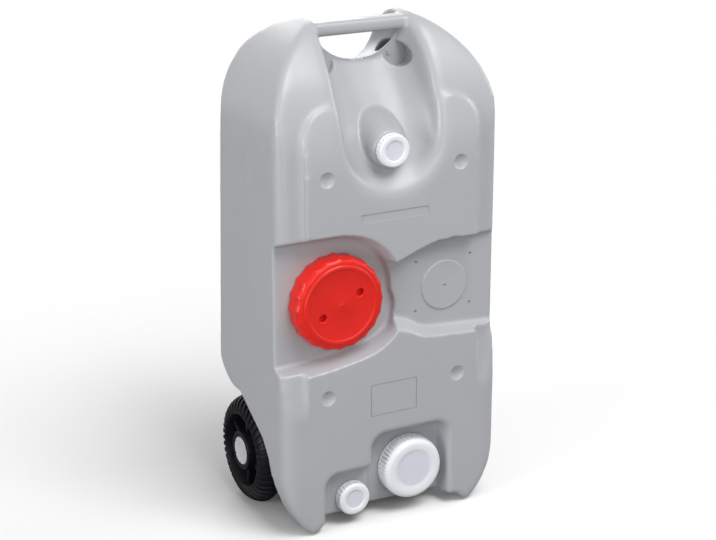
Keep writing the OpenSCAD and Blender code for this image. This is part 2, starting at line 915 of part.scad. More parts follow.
module large_drain_seal() {
    color("dimgray") placed() at_large_drain() {
        seal(large_drain_d, large_drain_h, large_drain_skirt);
    }
}

module small_drain_cap() {
    color("white") placed() at_small_drain() {
        ribbed_cap(small_drain_d, small_drain_h, small_cap_skirt);
    }
}

module small_drain_seal() {
    color("dimgray") placed() at_small_drain() {
        seal(small_drain_d, small_drain_h, small_cap_skirt);
    }
}

tank_top();
tank_middle();
tank_foot();
tank_back();
inspection_collar();
filler_collar();
large_drain_collar();
small_drain_collar();
axle();
wheel_left();
wheel_right();
hub_cap_left();
hub_cap_right();
inner_washer_left();
inner_washer_right();
outer_washer_left();
outer_washer_right();
retainer_left();
retainer_right();
inspection_cap();
inspection_seal();
filler_cap();
filler_seal();
large_drain_cap();
large_drain_seal();
small_drain_cap();
small_drain_seal();
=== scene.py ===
"""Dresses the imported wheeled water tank: its moulded skin, caps, collars, wheels and studio."""

import logging
import math
from collections.abc import Callable, Sequence
from dataclasses import dataclass, replace
from enum import Enum

import bpy
import numpy as np
from mathutils import Euler, Matrix, Vector


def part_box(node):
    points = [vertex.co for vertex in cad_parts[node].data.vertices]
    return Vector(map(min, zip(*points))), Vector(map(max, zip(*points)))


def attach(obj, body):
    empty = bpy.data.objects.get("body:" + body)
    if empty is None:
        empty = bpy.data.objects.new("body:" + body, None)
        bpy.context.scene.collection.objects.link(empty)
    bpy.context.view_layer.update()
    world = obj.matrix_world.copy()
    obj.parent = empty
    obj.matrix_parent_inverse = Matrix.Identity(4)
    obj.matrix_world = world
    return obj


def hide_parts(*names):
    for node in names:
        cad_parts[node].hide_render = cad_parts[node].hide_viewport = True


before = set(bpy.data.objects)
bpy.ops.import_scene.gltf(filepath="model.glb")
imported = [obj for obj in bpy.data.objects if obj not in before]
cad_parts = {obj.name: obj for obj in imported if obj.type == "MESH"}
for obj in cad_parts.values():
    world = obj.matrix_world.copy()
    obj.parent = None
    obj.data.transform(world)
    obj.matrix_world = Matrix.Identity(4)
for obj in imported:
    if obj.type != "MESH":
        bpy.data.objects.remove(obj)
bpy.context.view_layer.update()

LOG = logging.getLogger("water_tank")
MM = 0.001

Point = tuple[float, float]
Triple = tuple[float, float, float]
Piece = bpy.types.Object
Socket = bpy.types.NodeSocket
Inputs = dict[str | int, object]


class Axis(Enum):
    """The direction along which an outline is drawn out into a solid."""

    X = "x"
    Y = "y"
    Z = "z"


class Carve(Enum):
    """How a shaping solid acts on the piece that it meets."""

    CUT = "DIFFERENCE"
    ADD = "UNION"
    KEEP = "INTERSECT"


def arc(cx: float, cy: float, r: float, start: float, end: float, steps: int = 24) -> list[Point]:
    """Gives the points of an arc, both ends included.

    Args:
        cx: First coordinate of the centre.
        cy: Second coordinate of the centre.
        r: Radius.
        start: First angle, in degrees.
        end: Last angle, in degrees.
        steps: Number of chords.

    Returns:
        The points in order.
    """
    turns = [math.radians(start + (end - start) * i / steps) for i in range(steps + 1)]
    return [(cx + r * math.cos(a), cy + r * math.sin(a)) for a in turns]


def circle(cx: float, cy: float, r: float, points: int) -> list[Point]:
    """Gives the points of a full circle."""
    return arc(cx, cy, r, 0, 360 - 360 / points, points - 1)


def mirrored(points: Sequence[Point]) -> list[Point]:
    """Closes a right-hand outline: its points, then their mirror images in reverse."""
    return [*points, *[(-u, v) for u, v in reversed(points)]]


def rounded_box(cx: float, cy: float, half_u: float, half_v: float, r: float, steps: int = 8) -> list[Point]:
    """Gives the outline of a rectangle with round corners.

    Args:
        cx: First coordinate of the middle.
        cy: Second coordinate of the middle.
        half_u: Half of the first side.
        half_v: Half of the second side.
        r: Corner radius.
        steps: Chords in each corner.

    Returns:
        The outline's points, anticlockwise.
    """
    u, v = half_u - r, half_v - r
    return [
        *arc(cx + u, cy + v, r, 0, 90, steps),
        *arc(cx - u, cy + v, r, 90, 180, steps),
        *arc(cx - u, cy - v, r, 180, 270, steps),
        *arc(cx + u, cy - v, r, 270, 360, steps),
    ]


def deselect() -> None:
    """Leaves edit mode and deselects every object."""
    if bpy.context.mode != "OBJECT":
        bpy.ops.object.mode_set(mode="OBJECT")
    bpy.ops.object.select_all(action="DESELECT")


def pick(piece: Piece) -> None:
    """Makes one piece the only selected and active object."""
    deselect()
    piece.select_set(True)
    bpy.context.view_layer.objects.active = piece


def mend(piece: Piece) -> None:
    """Merges doubles, closes open ends and turns the faces outwards.

    Args:
        piece: The piece to mend.
    """
    pick(piece)
    bpy.ops.object.mode_set(mode="EDIT")
    bpy.ops.mesh.select_mode(type="VERT")
    bpy.ops.mesh.select_all(action="SELECT")
    bpy.ops.mesh.remove_doubles(threshold=1e-6)
    bpy.ops.mesh.select_all(action="DESELECT")
    bpy.ops.mesh.select_non_manifold(
        extend=False, use_wire=False, use_boundary=True, use_multi_face=False,
        use_non_contiguous=False, use_verts=False,
    )
    bpy.ops.mesh.fill_holes(sides=0)
    bpy.ops.mesh.select_all(action="SELECT")
    bpy.ops.mesh.normals_make_consistent(inside=False)
    bpy.ops.object.mode_set(mode="OBJECT")


def shade(piece: Piece, degrees: float) -> None:
    """Shades a piece smooth, with a crease at each edge that bends by more than an angle."""
    pick(piece)
    bpy.ops.object.shade_smooth_by_angle(angle=math.radians(degrees))


def loft(name: str, sections: Sequence[Sequence[Triple]], wrap: bool = False) -> Piece:
    """Skins a row of closed sections and closes both ends.

    Args:
        name: Name of the new piece.
        sections: Closed rings of the same number of points, in order.
        wrap: Whether the last section runs on into the first.

    Returns:
        A closed solid.
    """
    if wrap:
        sections = [*sections, sections[0]]
    columns, rows = len(sections[0]), len(sections) - 1
    deselect()
    bpy.ops.mesh.primitive_grid_add(x_subdivisions=columns, y_subdivisions=rows, size=1.0)
    piece = bpy.context.active_object
    piece.name = name
    rings = np.array([[*ring, ring[0]] for ring in sections], dtype=np.float32)
    piece.data.vertices.foreach_set("co", rings.reshape(-1))
    piece.data.update()
    mend(piece)
    return piece


def placed(outline: Sequence[Point], depth: float, axis: Axis) -> list[Triple]:
    """Puts a flat outline at a depth along an axis.

    Args:
        outline: The outline's points: x-z along Y, y-z along X and x-y along Z.
        depth: Place along the axis.
        axis: The axis.

    Returns:
        The outline in space.
    """
    if axis is Axis.X:
        return [(depth, u, v) for u, v in outline]
    if axis is Axis.Y:
        return [(u, depth, v) for u, v in outline]
    return [(u, v, depth) for u, v in outline]


def prism(name: str, axis: Axis, *steps: tuple[float, Sequence[Point]]) -> Piece:
    """Draws an outline out along an axis, with a new outline at each step.

    Args:
        name: Name of the new piece.
        axis: The axis that it runs along.
        steps: Pairs of a depth and the outline there.

    Returns:
        A closed solid.
    """
    return loft(name, [placed(outline, depth, axis) for depth, outline in steps])


def ball(name: str, radii: Triple, centre: Triple, segments: int) -> Piece:
    """Adds a ball or egg for pressing a hollow.

    Args:
        name: Name of the new piece.
        radii: Its radius along each axis.
        centre: Its middle.
        segments: Number of its meridians.

    Returns:
        A closed solid.
    """
    deselect()
    bpy.ops.mesh.primitive_uv_sphere_add(segments=segments, ring_count=segments * 2 // 3, radius=1.0)
    piece = bpy.context.active_object
    piece.name = name
    piece.scale = radii
    piece.location = centre
    bpy.ops.object.transform_apply(location=True, rotation=True, scale=True)
    return piece


def apply(piece: Piece, kind: str, **settings: object) -> None:
    """Adds a modifier with its settings and applies it.

    Args:
        piece: The piece to change.
        kind: The modifier's type.
        settings: The modifier's own settings by name.
    """
    pick(piece)
    bpy.ops.object.modifier_add(type=kind)
    modifier = piece.modifiers[-1]
    for key, value in settings.items():
        setattr(modifier, key, value)
    bpy.ops.object.modifier_apply(modifier=modifier.name)


def carve(piece: Piece, tool: Piece, how: Carve) -> Piece:
    """Shapes a piece with another solid, which is used up.

    Args:
        piece: The piece to shape.
        tool: The shaping solid.
        how: Cut it away, add it or keep the shared part.

    Returns:
        The shaped piece.
    """
    apply(piece, "BOOLEAN", operation=how.value, object=tool, solver="MANIFOLD")
    bpy.data.objects.remove(tool)
    return piece


def soften(piece: Piece, passes: int, where: Callable[[np.ndarray], np.ndarray]) -> None:
    """Rounds a piece's edges off where a weight says so.

    Args:
        piece: The piece to smooth.
        passes: Number of smoothing passes at full weight.
        where: Weight from 0 to 1 for an array of points.
    """
    points = np.zeros(len(piece.data.vertices) * 3)
    piece.data.vertices.foreach_get("co", points)
    weights = np.clip(where(points.reshape(-1, 3)), 0.0, 1.0)
    group = piece.vertex_groups.new(name="soft")
    for index in np.flatnonzero(weights > 0.01):
        group.add([int(index)], float(weights[index]), "REPLACE")
    apply(piece, "SMOOTH", factor=0.5, iterations=passes, vertex_group=group.name)
    piece.vertex_groups.clear()


def ramp(values: np.ndarray, low: float, high: float) -> np.ndarray:
    """Rises smoothly from 0 at low to 1 at high, or falls where low is above high.

    Args:
        values: The values to grade.
        low: Value that gives 0.
        high: Value that gives 1.

    Returns:
        The grades.
    """
    t = np.clip((values - low) / (high - low), 0.0, 1.0)
    return t * t * (3.0 - 2.0 * t)


def turned(name: str, profile: Sequence[Point], steps: int) -> Piece:
    """Spins a closed half section of radius and height about the Z axis.

    Args:
        name: Name of the new piece.
        profile: Points of radius and height, all off the axis.
        steps: Number of steps round the turn.

    Returns:
        A closed ring.
    """
    deselect()
    bpy.ops.mesh.primitive_circle_add(vertices=len(profile), radius=1.0, fill_type="NOTHING")
    piece = bpy.context.active_object
    piece.name = name
    for vertex, (r, z) in zip(piece.data.vertices, profile):
        vertex.co = (r, 0.0, z)
    bpy.ops.object.mode_set(mode="EDIT")
    bpy.ops.mesh.select_all(action="SELECT")
    bpy.ops.mesh.spin(steps=steps, angle=math.tau, center=(0, 0, 0), axis=(0, 0, 1))
    bpy.ops.object.mode_set(mode="OBJECT")
    mend(piece)
    return piece


def copied(piece: Piece, name: str) -> Piece:
    """Copies a piece with a mesh of its own.

    Args:
        piece: The piece to copy.
        name: Name of the copy.

    Returns:
        The copy.
    """
    twin = piece.copy()
    twin.data = piece.data.copy()
    twin.name = name
    bpy.context.scene.collection.objects.link(twin)
    return twin


def moved(piece: Piece, matrix: Matrix) -> Piece:
    """Moves a piece's mesh, so that its object stays at the origin.

    Args:
        piece: The piece to move.
        matrix: Where its mesh goes.

    Returns:
        The same piece.
    """
    pick(piece)
    piece.matrix_world = matrix @ piece.matrix_world
    bpy.ops.object.transform_apply(location=True, rotation=True, scale=True)
    if matrix.determinant() < 0:
        mend(piece)
    return piece


def feed(node: bpy.types.Node, inputs: Inputs) -> bpy.types.Node:
    """Sets a node's inputs, or links them to other nodes' outputs.

    Args:
        node: The node.
        inputs: A value or an output for each input, by its name or number.

    Returns:
        The same node.
    """
    for key, value in inputs.items():
        if isinstance(value, Socket):
            node.id_data.links.new(value, node.inputs[key])
        else:
            node.inputs[key].default_value = value
    return node


def add_node(tree: bpy.types.NodeTree, kind: str, inputs: Inputs, **settings: str) -> bpy.types.Node:
    """Adds a shader node.

    Args:
        tree: The node tree that it joins.
        kind: Its type, without the common first words.
        inputs: What its inputs take.
        settings: Its own properties by name.

    Returns:
        The new node.
    """
    node = tree.nodes.new(f"ShaderNode{kind}")
    for key, value in settings.items():
        setattr(node, key, value)
    return feed(node, inputs)


@dataclass(frozen=True)
class Finish:
    """A procedural finish: a mottled colour, uneven gloss and a fine grain.

    Attributes:
        name: Name of the material.
        slot: Name of a material slot; not used.
        light: Colour of the paler patches, linear.
        dark: Colour of the darker patches, linear.
        roughness: Least and greatest roughness.
        patch: Patches to the metre.
        grain: Grains to the metre.
        relief: Depth of the grain in metres.
        metallic: 1 for bare metal.
        stretch: Scale of the pattern along each axis, for brushed or drawn marks.
        subsurface: Share of light that scatters below the surface.
        seam: Place in Y of the line where the mould's halves meet, in metres, if it shows.
        specular: Level of plain reflections.
    """

    name: str
    slot: str
    light: Triple
    dark: Triple
    roughness: Point = (0.4, 0.5)
    patch: float = 9.0
    grain: float = 900.0
    relief: float = 0.00008
    metallic: float = 0.0
    stretch: Triple = (1.0, 1.0, 1.0)
    subsurface: float = 0.0
    seam: float | None = None
    specular: float = 0.5

    def material(self) -> bpy.types.Material:
        """Builds the material's nodes once and gives the material.

        Returns:
            The material.
        """
        known = bpy.data.materials.get(self.name)
        if known is not None:
            return known
        material = bpy.data.materials.new(self.name)
        material.use_nodes = True
        tree = material.node_tree
        place = add_node(tree, "TexCoord", {}).outputs["Object"]
        spread = add_node(tree, "Mapping", {"Vector": place, "Scale": self.stretch}).outputs["Vector"]

        def noise(scale: float, detail: float) -> Socket:
            """Adds a noise texture and gives its output."""
            inputs = {"Vector": spread, "Scale": scale, "Detail": detail}
            return add_node(tree, "TexNoise", inputs).outputs["Fac"]

        tints = {"A": (*self.dark, 1.0), "B": (*self.light, 1.0), "Factor": noise(self.patch, 4.0)}
        least, greatest = self.roughness
        smudges = {"From Min": 0.3, "From Max": 0.7, "To Min": least, "To Max": greatest}
        smudges["Value"] = noise(self.patch * 4.0, 3.0)
        grain = {"Strength": 0.5, "Distance": self.relief, "Height": noise(self.grain, 2.0)}
        normal = add_node(tree, "Bump", grain).outputs["Normal"]
        if self.seam is not None:
            normal = self.seam_line(tree, place, normal)
        shader = feed(tree.nodes["Principled BSDF"], {
            "Base Color": add_node(tree, "Mix", tints, data_type="RGBA").outputs["Result"],
            "Roughness": add_node(tree, "MapRange", smudges).outputs["Result"],
            "Normal": normal,
            "Metallic": self.metallic,
            "IOR": 1.5,
            "Specular IOR Level": self.specular,
        })
        if self.subsurface:
            depth = {"Subsurface Radius": (1.0, 1.0, 1.0), "Subsurface Scale": 2 * MM}
            feed(shader, {"Subsurface Weight": self.subsurface, **depth})
        return material

    def seam_line(self, tree: bpy.types.NodeTree, place: Socket, under: Socket) -> Socket:
        """Adds the fine raised line that the two mould halves leave.

        Args:
            tree: The material's node tree.
            place: The Object coordinates.
            under: The normal of the grain.

        Returns:
            The normal that carries both.
        """
        half_width, height = 0.9 * MM, 0.3 * MM
        along = add_node(tree, "SeparateXYZ", {"Vector": place}).outputs["Y"]
        offset = add_node(tree, "Math", {0: along, 1: self.seam}, operation="SUBTRACT")
        away = add_node(tree, "Math", {0: offset.outputs[0]}, operation="ABSOLUTE").outputs[0]
        fall = {"Value": away, "From Min": 0.0, "From Max": half_width, "To Min": 1.0, "To Max": 0.0}
        line = add_node(tree, "MapRange", fall, interpolation_type="SMOOTHSTEP").outputs["Result"]
        bump = {"Strength": 0.6, "Distance": height, "Height": line, "Normal": under}
        return add_node(tree, "Bump", bump).outputs["Normal"]

    def dress(self, piece: Piece, body: str, *stands_for: str) -> None:
        """Gives a new piece this finish, its body and the nodes that it replaces.

        Args:
            piece: The finished mesh, in place.
            body: The body that it moves with.
            stands_for: The CAD nodes that it stands for.
        """
        piece.data.materials.clear()
        piece.data.materials.append(self.material())
        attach(piece, body)
        if stands_for:
            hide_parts(*stands_for)
        LOG.info("%s: %d faces on %s", piece.name, len(piece.data.polygons), body)

    def paint(self, node: str) -> None:
        """Gives a CAD node that stays in sight this finish.

        Args:
            node: The node's name.
        """
        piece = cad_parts[node]
        piece.data.materials.clear()
        piece.data.materials.append(self.material())
        LOG.info("%s: CAD node, %s", node, self.name)


TANK_GREY = Finish(
    "tank_polyethylene", "tank_grey", (0.425, 0.437, 0.455), (0.395, 0.406, 0.424), (0.3, 0.42),
    patch=7.0, grain=1400.0, relief=0.00006, subsurface=0.05, seam=-0.0046,
)
CAP_RED = Finish(
    "red_cap_plastic", "cap_red", (0.74, 0.018, 0.011), (0.66, 0.013, 0.008), (0.28, 0.38),
    patch=30.0, grain=1600.0, specular=0.3,
)
CAP_WHITE = Finish(
    "white_cap_plastic", "cap_white", (0.83, 0.84, 0.875), (0.78, 0.79, 0.83), (0.35, 0.45),
    patch=40.0, grain=1800.0, relief=0.00005, subsurface=0.06,
)
# The dished middles of the white caps are coloured darker and bluer, with a ring of a halfway tone round them.
CAP_DARK_MIDDLE_EDGE = replace(CAP_WHITE, name="dark_middle_edge_cap_plastic", light=(0.76, 0.77, 0.82), dark=(0.72, 0.73, 0.78))
CAP_DARK_MIDDLE = replace(CAP_WHITE, name="dark_middle_cap_plastic", light=(0.69, 0.7, 0.775), dark=(0.66, 0.67, 0.745))
WHEEL_BLACK = Finish(
    "wheel_rubbery_plastic", "wheel_black", (0.007, 0.007, 0.009), (0.004, 0.004, 0.0055), (0.36, 0.48),
    patch=25.0, grain=1200.0, relief=0.0001, specular=0.12,
)
HUB_GREY = Finish(
    "hub_cap_plastic", "hub_grey", (0.55, 0.56, 0.58), (0.5, 0.51, 0.53), (0.38, 0.48), patch=60.0, grain=1800.0
)
AXLE_STEEL = Finish(
    "drawn_axle_steel", "axle_steel", (0.62, 0.62, 0.64), (0.5, 0.5, 0.52), (0.25, 0.4),
    patch=60.0, grain=2500.0, relief=0.00003, metallic=1.0, stretch=(0.05, 1.0, 1.0),
)
WASHER_ZINC = Finish(
    "zinc_washer", "washer_zinc", (0.58, 0.58, 0.6), (0.47, 0.47, 0.5), (0.3, 0.45),
    patch=120.0, grain=2500.0, relief=0.00003, metallic=1.0,
)
RETAINER_STEEL = replace(
    WASHER_ZINC, name="spring_steel", slot="retainer_steel",
    light=(0.5, 0.5, 0.52), dark=(0.4, 0.4, 0.43), roughness=(0.28, 0.4),
)
SEAL_RUBBER = Finish(
    "seal_rubber_black", "seal_rubber", (0.035, 0.035, 0.035), (0.02, 0.02, 0.02), (0.6, 0.75), patch=80.0
)


@dataclass
class Tank:
    """The blow-moulded shell, drawn with the raised panel's face at y = 0 and then set in place.

    The handle bar's section and the label's box are half sides and a corner radius. The tables of places
    are in millimetres: the channel's rows are depth, floor, half width and corner radius, the pockets' are
    middle, half width, top and floor, and the web's are across and up.
    """

    width: float = 352 * MM
    depth: float = 230 * MM
    back_lean: float = 18 * MM
    lean_z: float = 250 * MM
    lean_rise: float = 342 * MM
    height: float = 737 * MM
    shoulder_r: float = 150 * MM
    shoulder_z: float = 593 * MM
    dome_r: float = 197 * MM
    dome_z: float = 568 * MM
    rear_dome_r: float = 114 * MM
    rear_dome_y: float = 109 * MM
    rear_dome_z: float = 632 * MM
    sweep_r: float = 135 * MM
    sweep_z: float = 101 * MM
    front_edge_r: float = 17 * MM
    rear_edge_r: float = 12 * MM
    border_y: float = 12 * MM
    skirt_top: float = 262 * MM
    skirt_fade: float = 72 * MM
    panel_half: float = 138 * MM
    panel_top: float = 630 * MM
    panel_corner_r: float = 44 * MM
    panel_dome_r: float = 234 * MM
    panel_dome_z: float = 540 * MM
    foot_back: float = 34 * MM
    foot_half_gap: float = 112 * MM
    foot_slope: float = 20 * MM
    foot_inset: float = 16 * MM
    belly_z: float = 17 * MM
    belly_r: float = 56 * MM
    part_y: float = 116 * MM
    axle_y: float = 160 * MM
    axle_z: float = 82 * MM
    axle_bore_r: float = 6.3 * MM
    bay_r: float = 88 * MM
    bay_x: float = 128.1 * MM
    bay_slope: float = 30.6
    bay_corner_r: float = 70 * MM
    bay_edge: float = 3 * MM
    bar_half: float = 82 * MM
    bar_z: float = 719 * MM
    bar_section: Triple = (15 * MM, 10 * MM, 7 * MM)
    label_z: float = 470.5 * MM
    label_box: Triple = (55 * MM, 6.4 * MM, 2.5 * MM)
    label_depth: float = 1.2 * MM
    scoop_x: float = 60 * MM
    scoop_z: float = 673 * MM
    scoop_radii: Triple = (19 * MM, 41 * MM, 18 * MM)
    web_half: float = 1.6 * MM
    pip_x: float = 50 * MM
    pip_z: float = 676 * MM
    pip_r: float = 3 * MM
    pip_proud: float = 4 * MM
    dent_x: float = 106 * MM
    dent_z: Point = (212 * MM, 534 * MM)
    dent_r: float = 11.8 * MM
    dent_depth: float = 4.2 * MM
    mark_x: Point = (46 * MM, 136.5 * MM)
    mark_z: Point = (311.5 * MM, 387 * MM)
    over: float = 40 * MM
    coarse: float = 4.0 * MM
    fine: float = 2.5 * MM
    kept_share: float = 0.5
    crease: float = 60.0
    channel: tuple[tuple[float, float, float, float], ...] = (
        (-40, 499, 75, 75), (0, 503, 75, 75), (9, 510, 75, 75), (17, 520, 75, 75), (24, 533, 75, 74),
        (32, 551, 75, 71), (44, 576, 75, 67), (66, 606, 74, 61), (94, 644, 71, 55), (116, 674, 68, 51),
        (150, 662, 68, 52), (220, 641, 68, 52), (262, 632, 68, 52),
    )
    pockets: tuple[tuple[float, float, float, float], ...] = ((30, 66, 141, 31), (-64, 48, 92, 22))
    web: tuple[Point, ...] = (
        (12, 666), (12, 672), (22, 673.5), (31, 676.5), (42, 682), (54, 691), (61, 700), (66, 711),
        (84, 711), (84, 650), (36, 650),
    )

    def build(self) -> None:
        """Models the skin in stages, from the soft body to its crisp details, and dresses it."""
        skin = self.body()
        self.add_panel_and_channel(skin)
        self.cut_recesses(skin)
        self.add_details(skin)
        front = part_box("tank_middle")[0].y
        moved(skin, Matrix.Translation((0.0, front, 0.0)))
        shade(skin, self.crease)
        apply(skin, "WEIGHTED_NORMAL", keep_sharp=True)
        TANK_GREY.dress(skin, "tank", "tank_top", "tank_middle", "tank_foot", "tank_back")

    def across(self, name: str, outline: Sequence[Point]) -> Piece:
        """Draws a side outline out across the whole width."""
        return prism(name, Axis.X, (-self.width, outline), (self.width, outline))

    def body(self) -> Piece:
        """Meets the front, side and plan outlines, swells the lower front and rounds the domed top.

        Returns:
            The plain body.
        """
        half = self.width / 2
        low = -math.degrees(math.asin(self.sweep_z / self.sweep_r))
        front = mirrored([
            *arc(half - self.sweep_r, self.sweep_z, self.sweep_r, low, 0),
            *arc(half - self.shoulder_r, self.shoulder_z, self.shoulder_r, 0, 90, 40),
        ])
        lean = math.atan(self.back_lean / self.lean_rise)
        crest = math.degrees(math.acos((self.part_y - self.border_y - self.dome_r) / self.dome_r))
        fall = math.degrees(math.acos((self.part_y - self.rear_dome_y) / self.rear_dome_r))
        side = [
            *arc(self.border_y + self.dome_r, self.dome_z, self.dome_r, 180, crest),
            *arc(self.rear_dome_y, self.rear_dome_z, self.rear_dome_r, fall, 0),
            (self.depth, self.lean_z),
            *arc(self.depth - self.belly_r, self.belly_z + self.belly_r, self.belly_r, 0, -90),
            (self.foot_back, self.belly_z),
            (self.foot_back, 0.0),
            (self.border_y, 0.0),
        ]
        plan = mirrored([
            *arc(half - self.front_edge_r, self.border_y + self.front_edge_r, self.front_edge_r, -90, 0),
            (half, self.depth + self.over),
        ])
        edge = self.rear_edge_r
        rear = mirrored([(half, -2 * self.depth), *arc(half - edge, -edge, edge, 0, 90)])
        skin = prism("tank_skin", Axis.Y, (0.0, front), (self.depth + self.over, front))
        carve(skin, self.across("side", side), Carve.KEEP)
        carve(skin, prism("plan", Axis.Z, (-self.over, plan), (self.height + self.over, plan)), Carve.KEEP)
        edges = prism("edges", Axis.Z, (-self.height, rear), (self.height, rear))
        moved(edges, Matrix.Translation((0.0, self.depth, self.lean_z)) @ Matrix.Rotation(lean, 4, "X"))
        carve(skin, edges, Carve.KEEP)
        skirt = moved(copied(skin, "skirt"), Matrix.Translation((0.0, -self.border_y, 0.0)))
        full = self.skirt_top - self.skirt_fade
        wedge = [
            (-self.over, -self.over),
            (-self.over, full),
            (0.0, full),
            (self.border_y, self.skirt_top),
            (self.part_y, self.skirt_top),
            (self.part_y, -self.over),
        ]
        carve(skirt, self.across("wedge", wedge), Carve.KEEP)
        carve(skin, skirt, Carve.ADD)
        apply(skin, "REMESH", mode="VOXEL", voxel_size=self.coarse)
        soften(skin, passes=20, where=self.dome_weight)
        soften(skin, passes=14, where=self.skirt_weight)
        return skin

    @staticmethod
    def dome_weight(p: np.ndarray) -> np.ndarray:
        """Weighs the domed top."""
        return ramp(p[:, 2], 540 * MM, 640 * MM)

    @staticmethod
    def skirt_weight(p: np.ndarray) -> np.ndarray:
        """Weighs the swollen lower front."""
        return ramp(p[:, 2], 300 * MM, 262 * MM) * ramp(p[:, 1], 45 * MM, 30 * MM)

    def panel(self) -> Piece:
        """Makes the raised front panel, which domes back with the border.

        Returns:
            The panel, a closed solid.
        """
        back = self.part_y - self.over / 2
        r = self.panel_dome_r
        last = math.degrees(math.acos((back - r) / r))
        corner_r = self.panel_corner_r
        corner = arc(self.panel_half - corner_r, self.panel_top - corner_r, corner_r, 0, 90)
        outline = mirrored([(self.panel_half, self.belly_z + self.over), *corner])
        face = [(0.0, 0.0), *arc(r, self.panel_dome_z, r, 180, last), (back, 0.0)]
        panel = prism("panel", Axis.Y, (-self.over, outline), (self.part_y, outline))
        return carve(panel, self.across("face", face), Carve.KEEP)

    def channel_section(self, y: float, floor: float, half: float, r: float) -> list[Triple]:
        """Gives the U of the channel at one depth.

        Args:
            y: The depth, in millimetres as all the others.
            floor: Height of the floor.
            half: Half of the width.
            r: Radius of the lower corners.

        Returns:
            The closed section in metres.
        """
        top, flare = self.height + self.over, 5
        flat = half - r
        u = [*arc(-flat, floor + r, r, 180, 270, 16), *arc(flat, floor + r, r, 270, 360, 16)]
        rim = [((half + flare) * MM, top), ((-half - flare) * MM, top)]
        return placed([*rim, *[(x * MM, z * MM) for x, z in u]], y * MM, Axis.Y)

    def add_panel_and_channel(self, skin: Piece) -> None:
        """Adds the panel, then sinks the bowl and the channel that runs over the saddle.

        Args:
            skin: The tank's skin so far.
        """
        carve(skin, self.panel(), Carve.ADD)
        carve(skin, loft("channel", [self.channel_section(*step) for step in self.channel]), Carve.CUT)
        apply(skin, "REMESH", mode="VOXEL", voxel_size=self.fine)
        soften(skin, passes=135, where=self.bowl_weight)

    @staticmethod
    def bowl_weight(p: np.ndarray) -> np.ndarray:
        """Weighs the bowl, the ridges beside the channel and the saddle, but not the panel's corners.

        Args:
            p: The points, one to a row.

        Returns:
            Their weights from 0 to 1.
        """
        across = ramp(np.abs(p[:, 0]), 99 * MM, 84 * MM)
        upward = ramp(p[:, 2], 470 * MM, 500 * MM)
        return across * upward

    def cut_recesses(self, skin: Piece) -> None:
        """Cuts the pockets, recesses, wheel bays and belly, and adds the boss and the handle bar.

        Args:
            skin: The tank's skin so far.
        """
        for pocket in self.pockets:
            carve(skin, self.pocket(*[length * MM for length in pocket]), Carve.CUT)
        sole = self.foot_half_gap + self.foot_inset
        belly = mirrored([(sole, -self.over), (sole, 0.0), (sole - self.foot_slope, self.belly_z)])
        carve(skin, prism("belly", Axis.Y, (-self.over, belly), (self.depth + self.over, belly)), Carve.CUT)
        apply(skin, "REMESH", mode="VOXEL", voxel_size=self.fine)
        soften(skin, passes=13, where=self.pocket_weight)
        carve(skin, self.round_recess(), Carve.CUT)
        carve(skin, self.side_recess(), Carve.CUT)
        bay = self.bay_outline()
        reach = self.width / 2 + self.over
        for side in (-1, 1):
            carve(skin, prism("bay", Axis.X, (side * self.bay_x, bay), (side * reach, bay)), Carve.CUT)
            place = (side * self.scoop_x, self.part_y, self.scoop_z)
            carve(skin, ball("scoop", self.scoop_radii, place, 48), Carve.CUT)
        carve(skin, self.boss(), Carve.ADD)
        bar = rounded_box(self.part_y, self.bar_z, *self.bar_section)
        carve(skin, prism("bar", Axis.X, (-self.bar_half, bar), (self.bar_half, bar)), Carve.ADD)
        apply(skin, "REMESH", mode="VOXEL", voxel_size=self.fine)
        soften(skin, passes=3, where=lambda p: np.ones(len(p)))
        soften(skin, passes=9, where=self.panel_side_weight)
        apply(skin, "DECIMATE", ratio=self.kept_share)

    @staticmethod
    def pocket_weight(p: np.ndarray) -> np.ndarray:
        """Weighs the front of the foot with its pockets."""
        return ramp(p[:, 2], 185 * MM, 155 * MM) * ramp(p[:, 1], 60 * MM, 40 * MM)

    @staticmethod
    def panel_side_weight(p: np.ndarray) -> np.ndarray:
        """Weighs the panel's upright sides above the recesses.

        Args:
            p: The points, one to a row.

        Returns:
            Their weights from 0 to 1.
        """
        across = np.abs(p[:, 0])
        beside = ramp(across, 124 * MM, 131 * MM) * ramp(across, 152 * MM, 146 * MM)
        upward = ramp(p[:, 2], 436 * MM, 452 * MM) * ramp(p[:, 2], 606 * MM, 576 * MM)
        return beside * upward * ramp(p[:, 1], 30 * MM, 20 * MM)

    def round_recess(self) -> Piece:
        """Makes the cutter of the inspection cap's recess, whose walls lean inwards.

        Returns:
            The cutter, a closed solid.
        """
        cx, cz, r, floor, slant = -88 * MM, 358 * MM, 93 * MM, 31 * MM, 11 * MM
        far, far_low = -self.width / 2 - self.over, 247 * MM
        wide, sideways = 1.1, 0.3
        ledge = [
            (-143, 249, 1.0), (-120, 251, 1.0), (-98, 253.5, 1.0), (-77, 257, 1.0), (-60, 260, 0.92),
            (-44, 263.5, 0.85), (-30, 268, 0.75), (-19, 273, 0.65), (-9, 280, 0.5), (0, 287.5, 0.35),
            (6.5, 296, 0.2), (10.5, 307, 0.1), (13, 320, 0.05), (14, 335, 0.0),
        ]

        def ring(lean: float) -> list[Point]:
            """Gives the recess outline, taken in by its lean.

            Args:
                lean: How far the wall has come in at this depth.

            Returns:
                The outline's points.
            """
            low = [(x * MM - lean * (1 - up) * sideways, z * MM + lean * up) for x, z, up in ledge]
            round_top = [((u - cx) * wide + cx, v) for u, v in arc(cx, cz, r - lean, 0, 90, 28)]
            return [(far, far_low + lean), *low, *round_top, (far, cz + r - lean)]

        return prism("round_recess", Axis.Y, (-self.over, ring(0)), (0.0, ring(0)), (floor, ring(slant)))

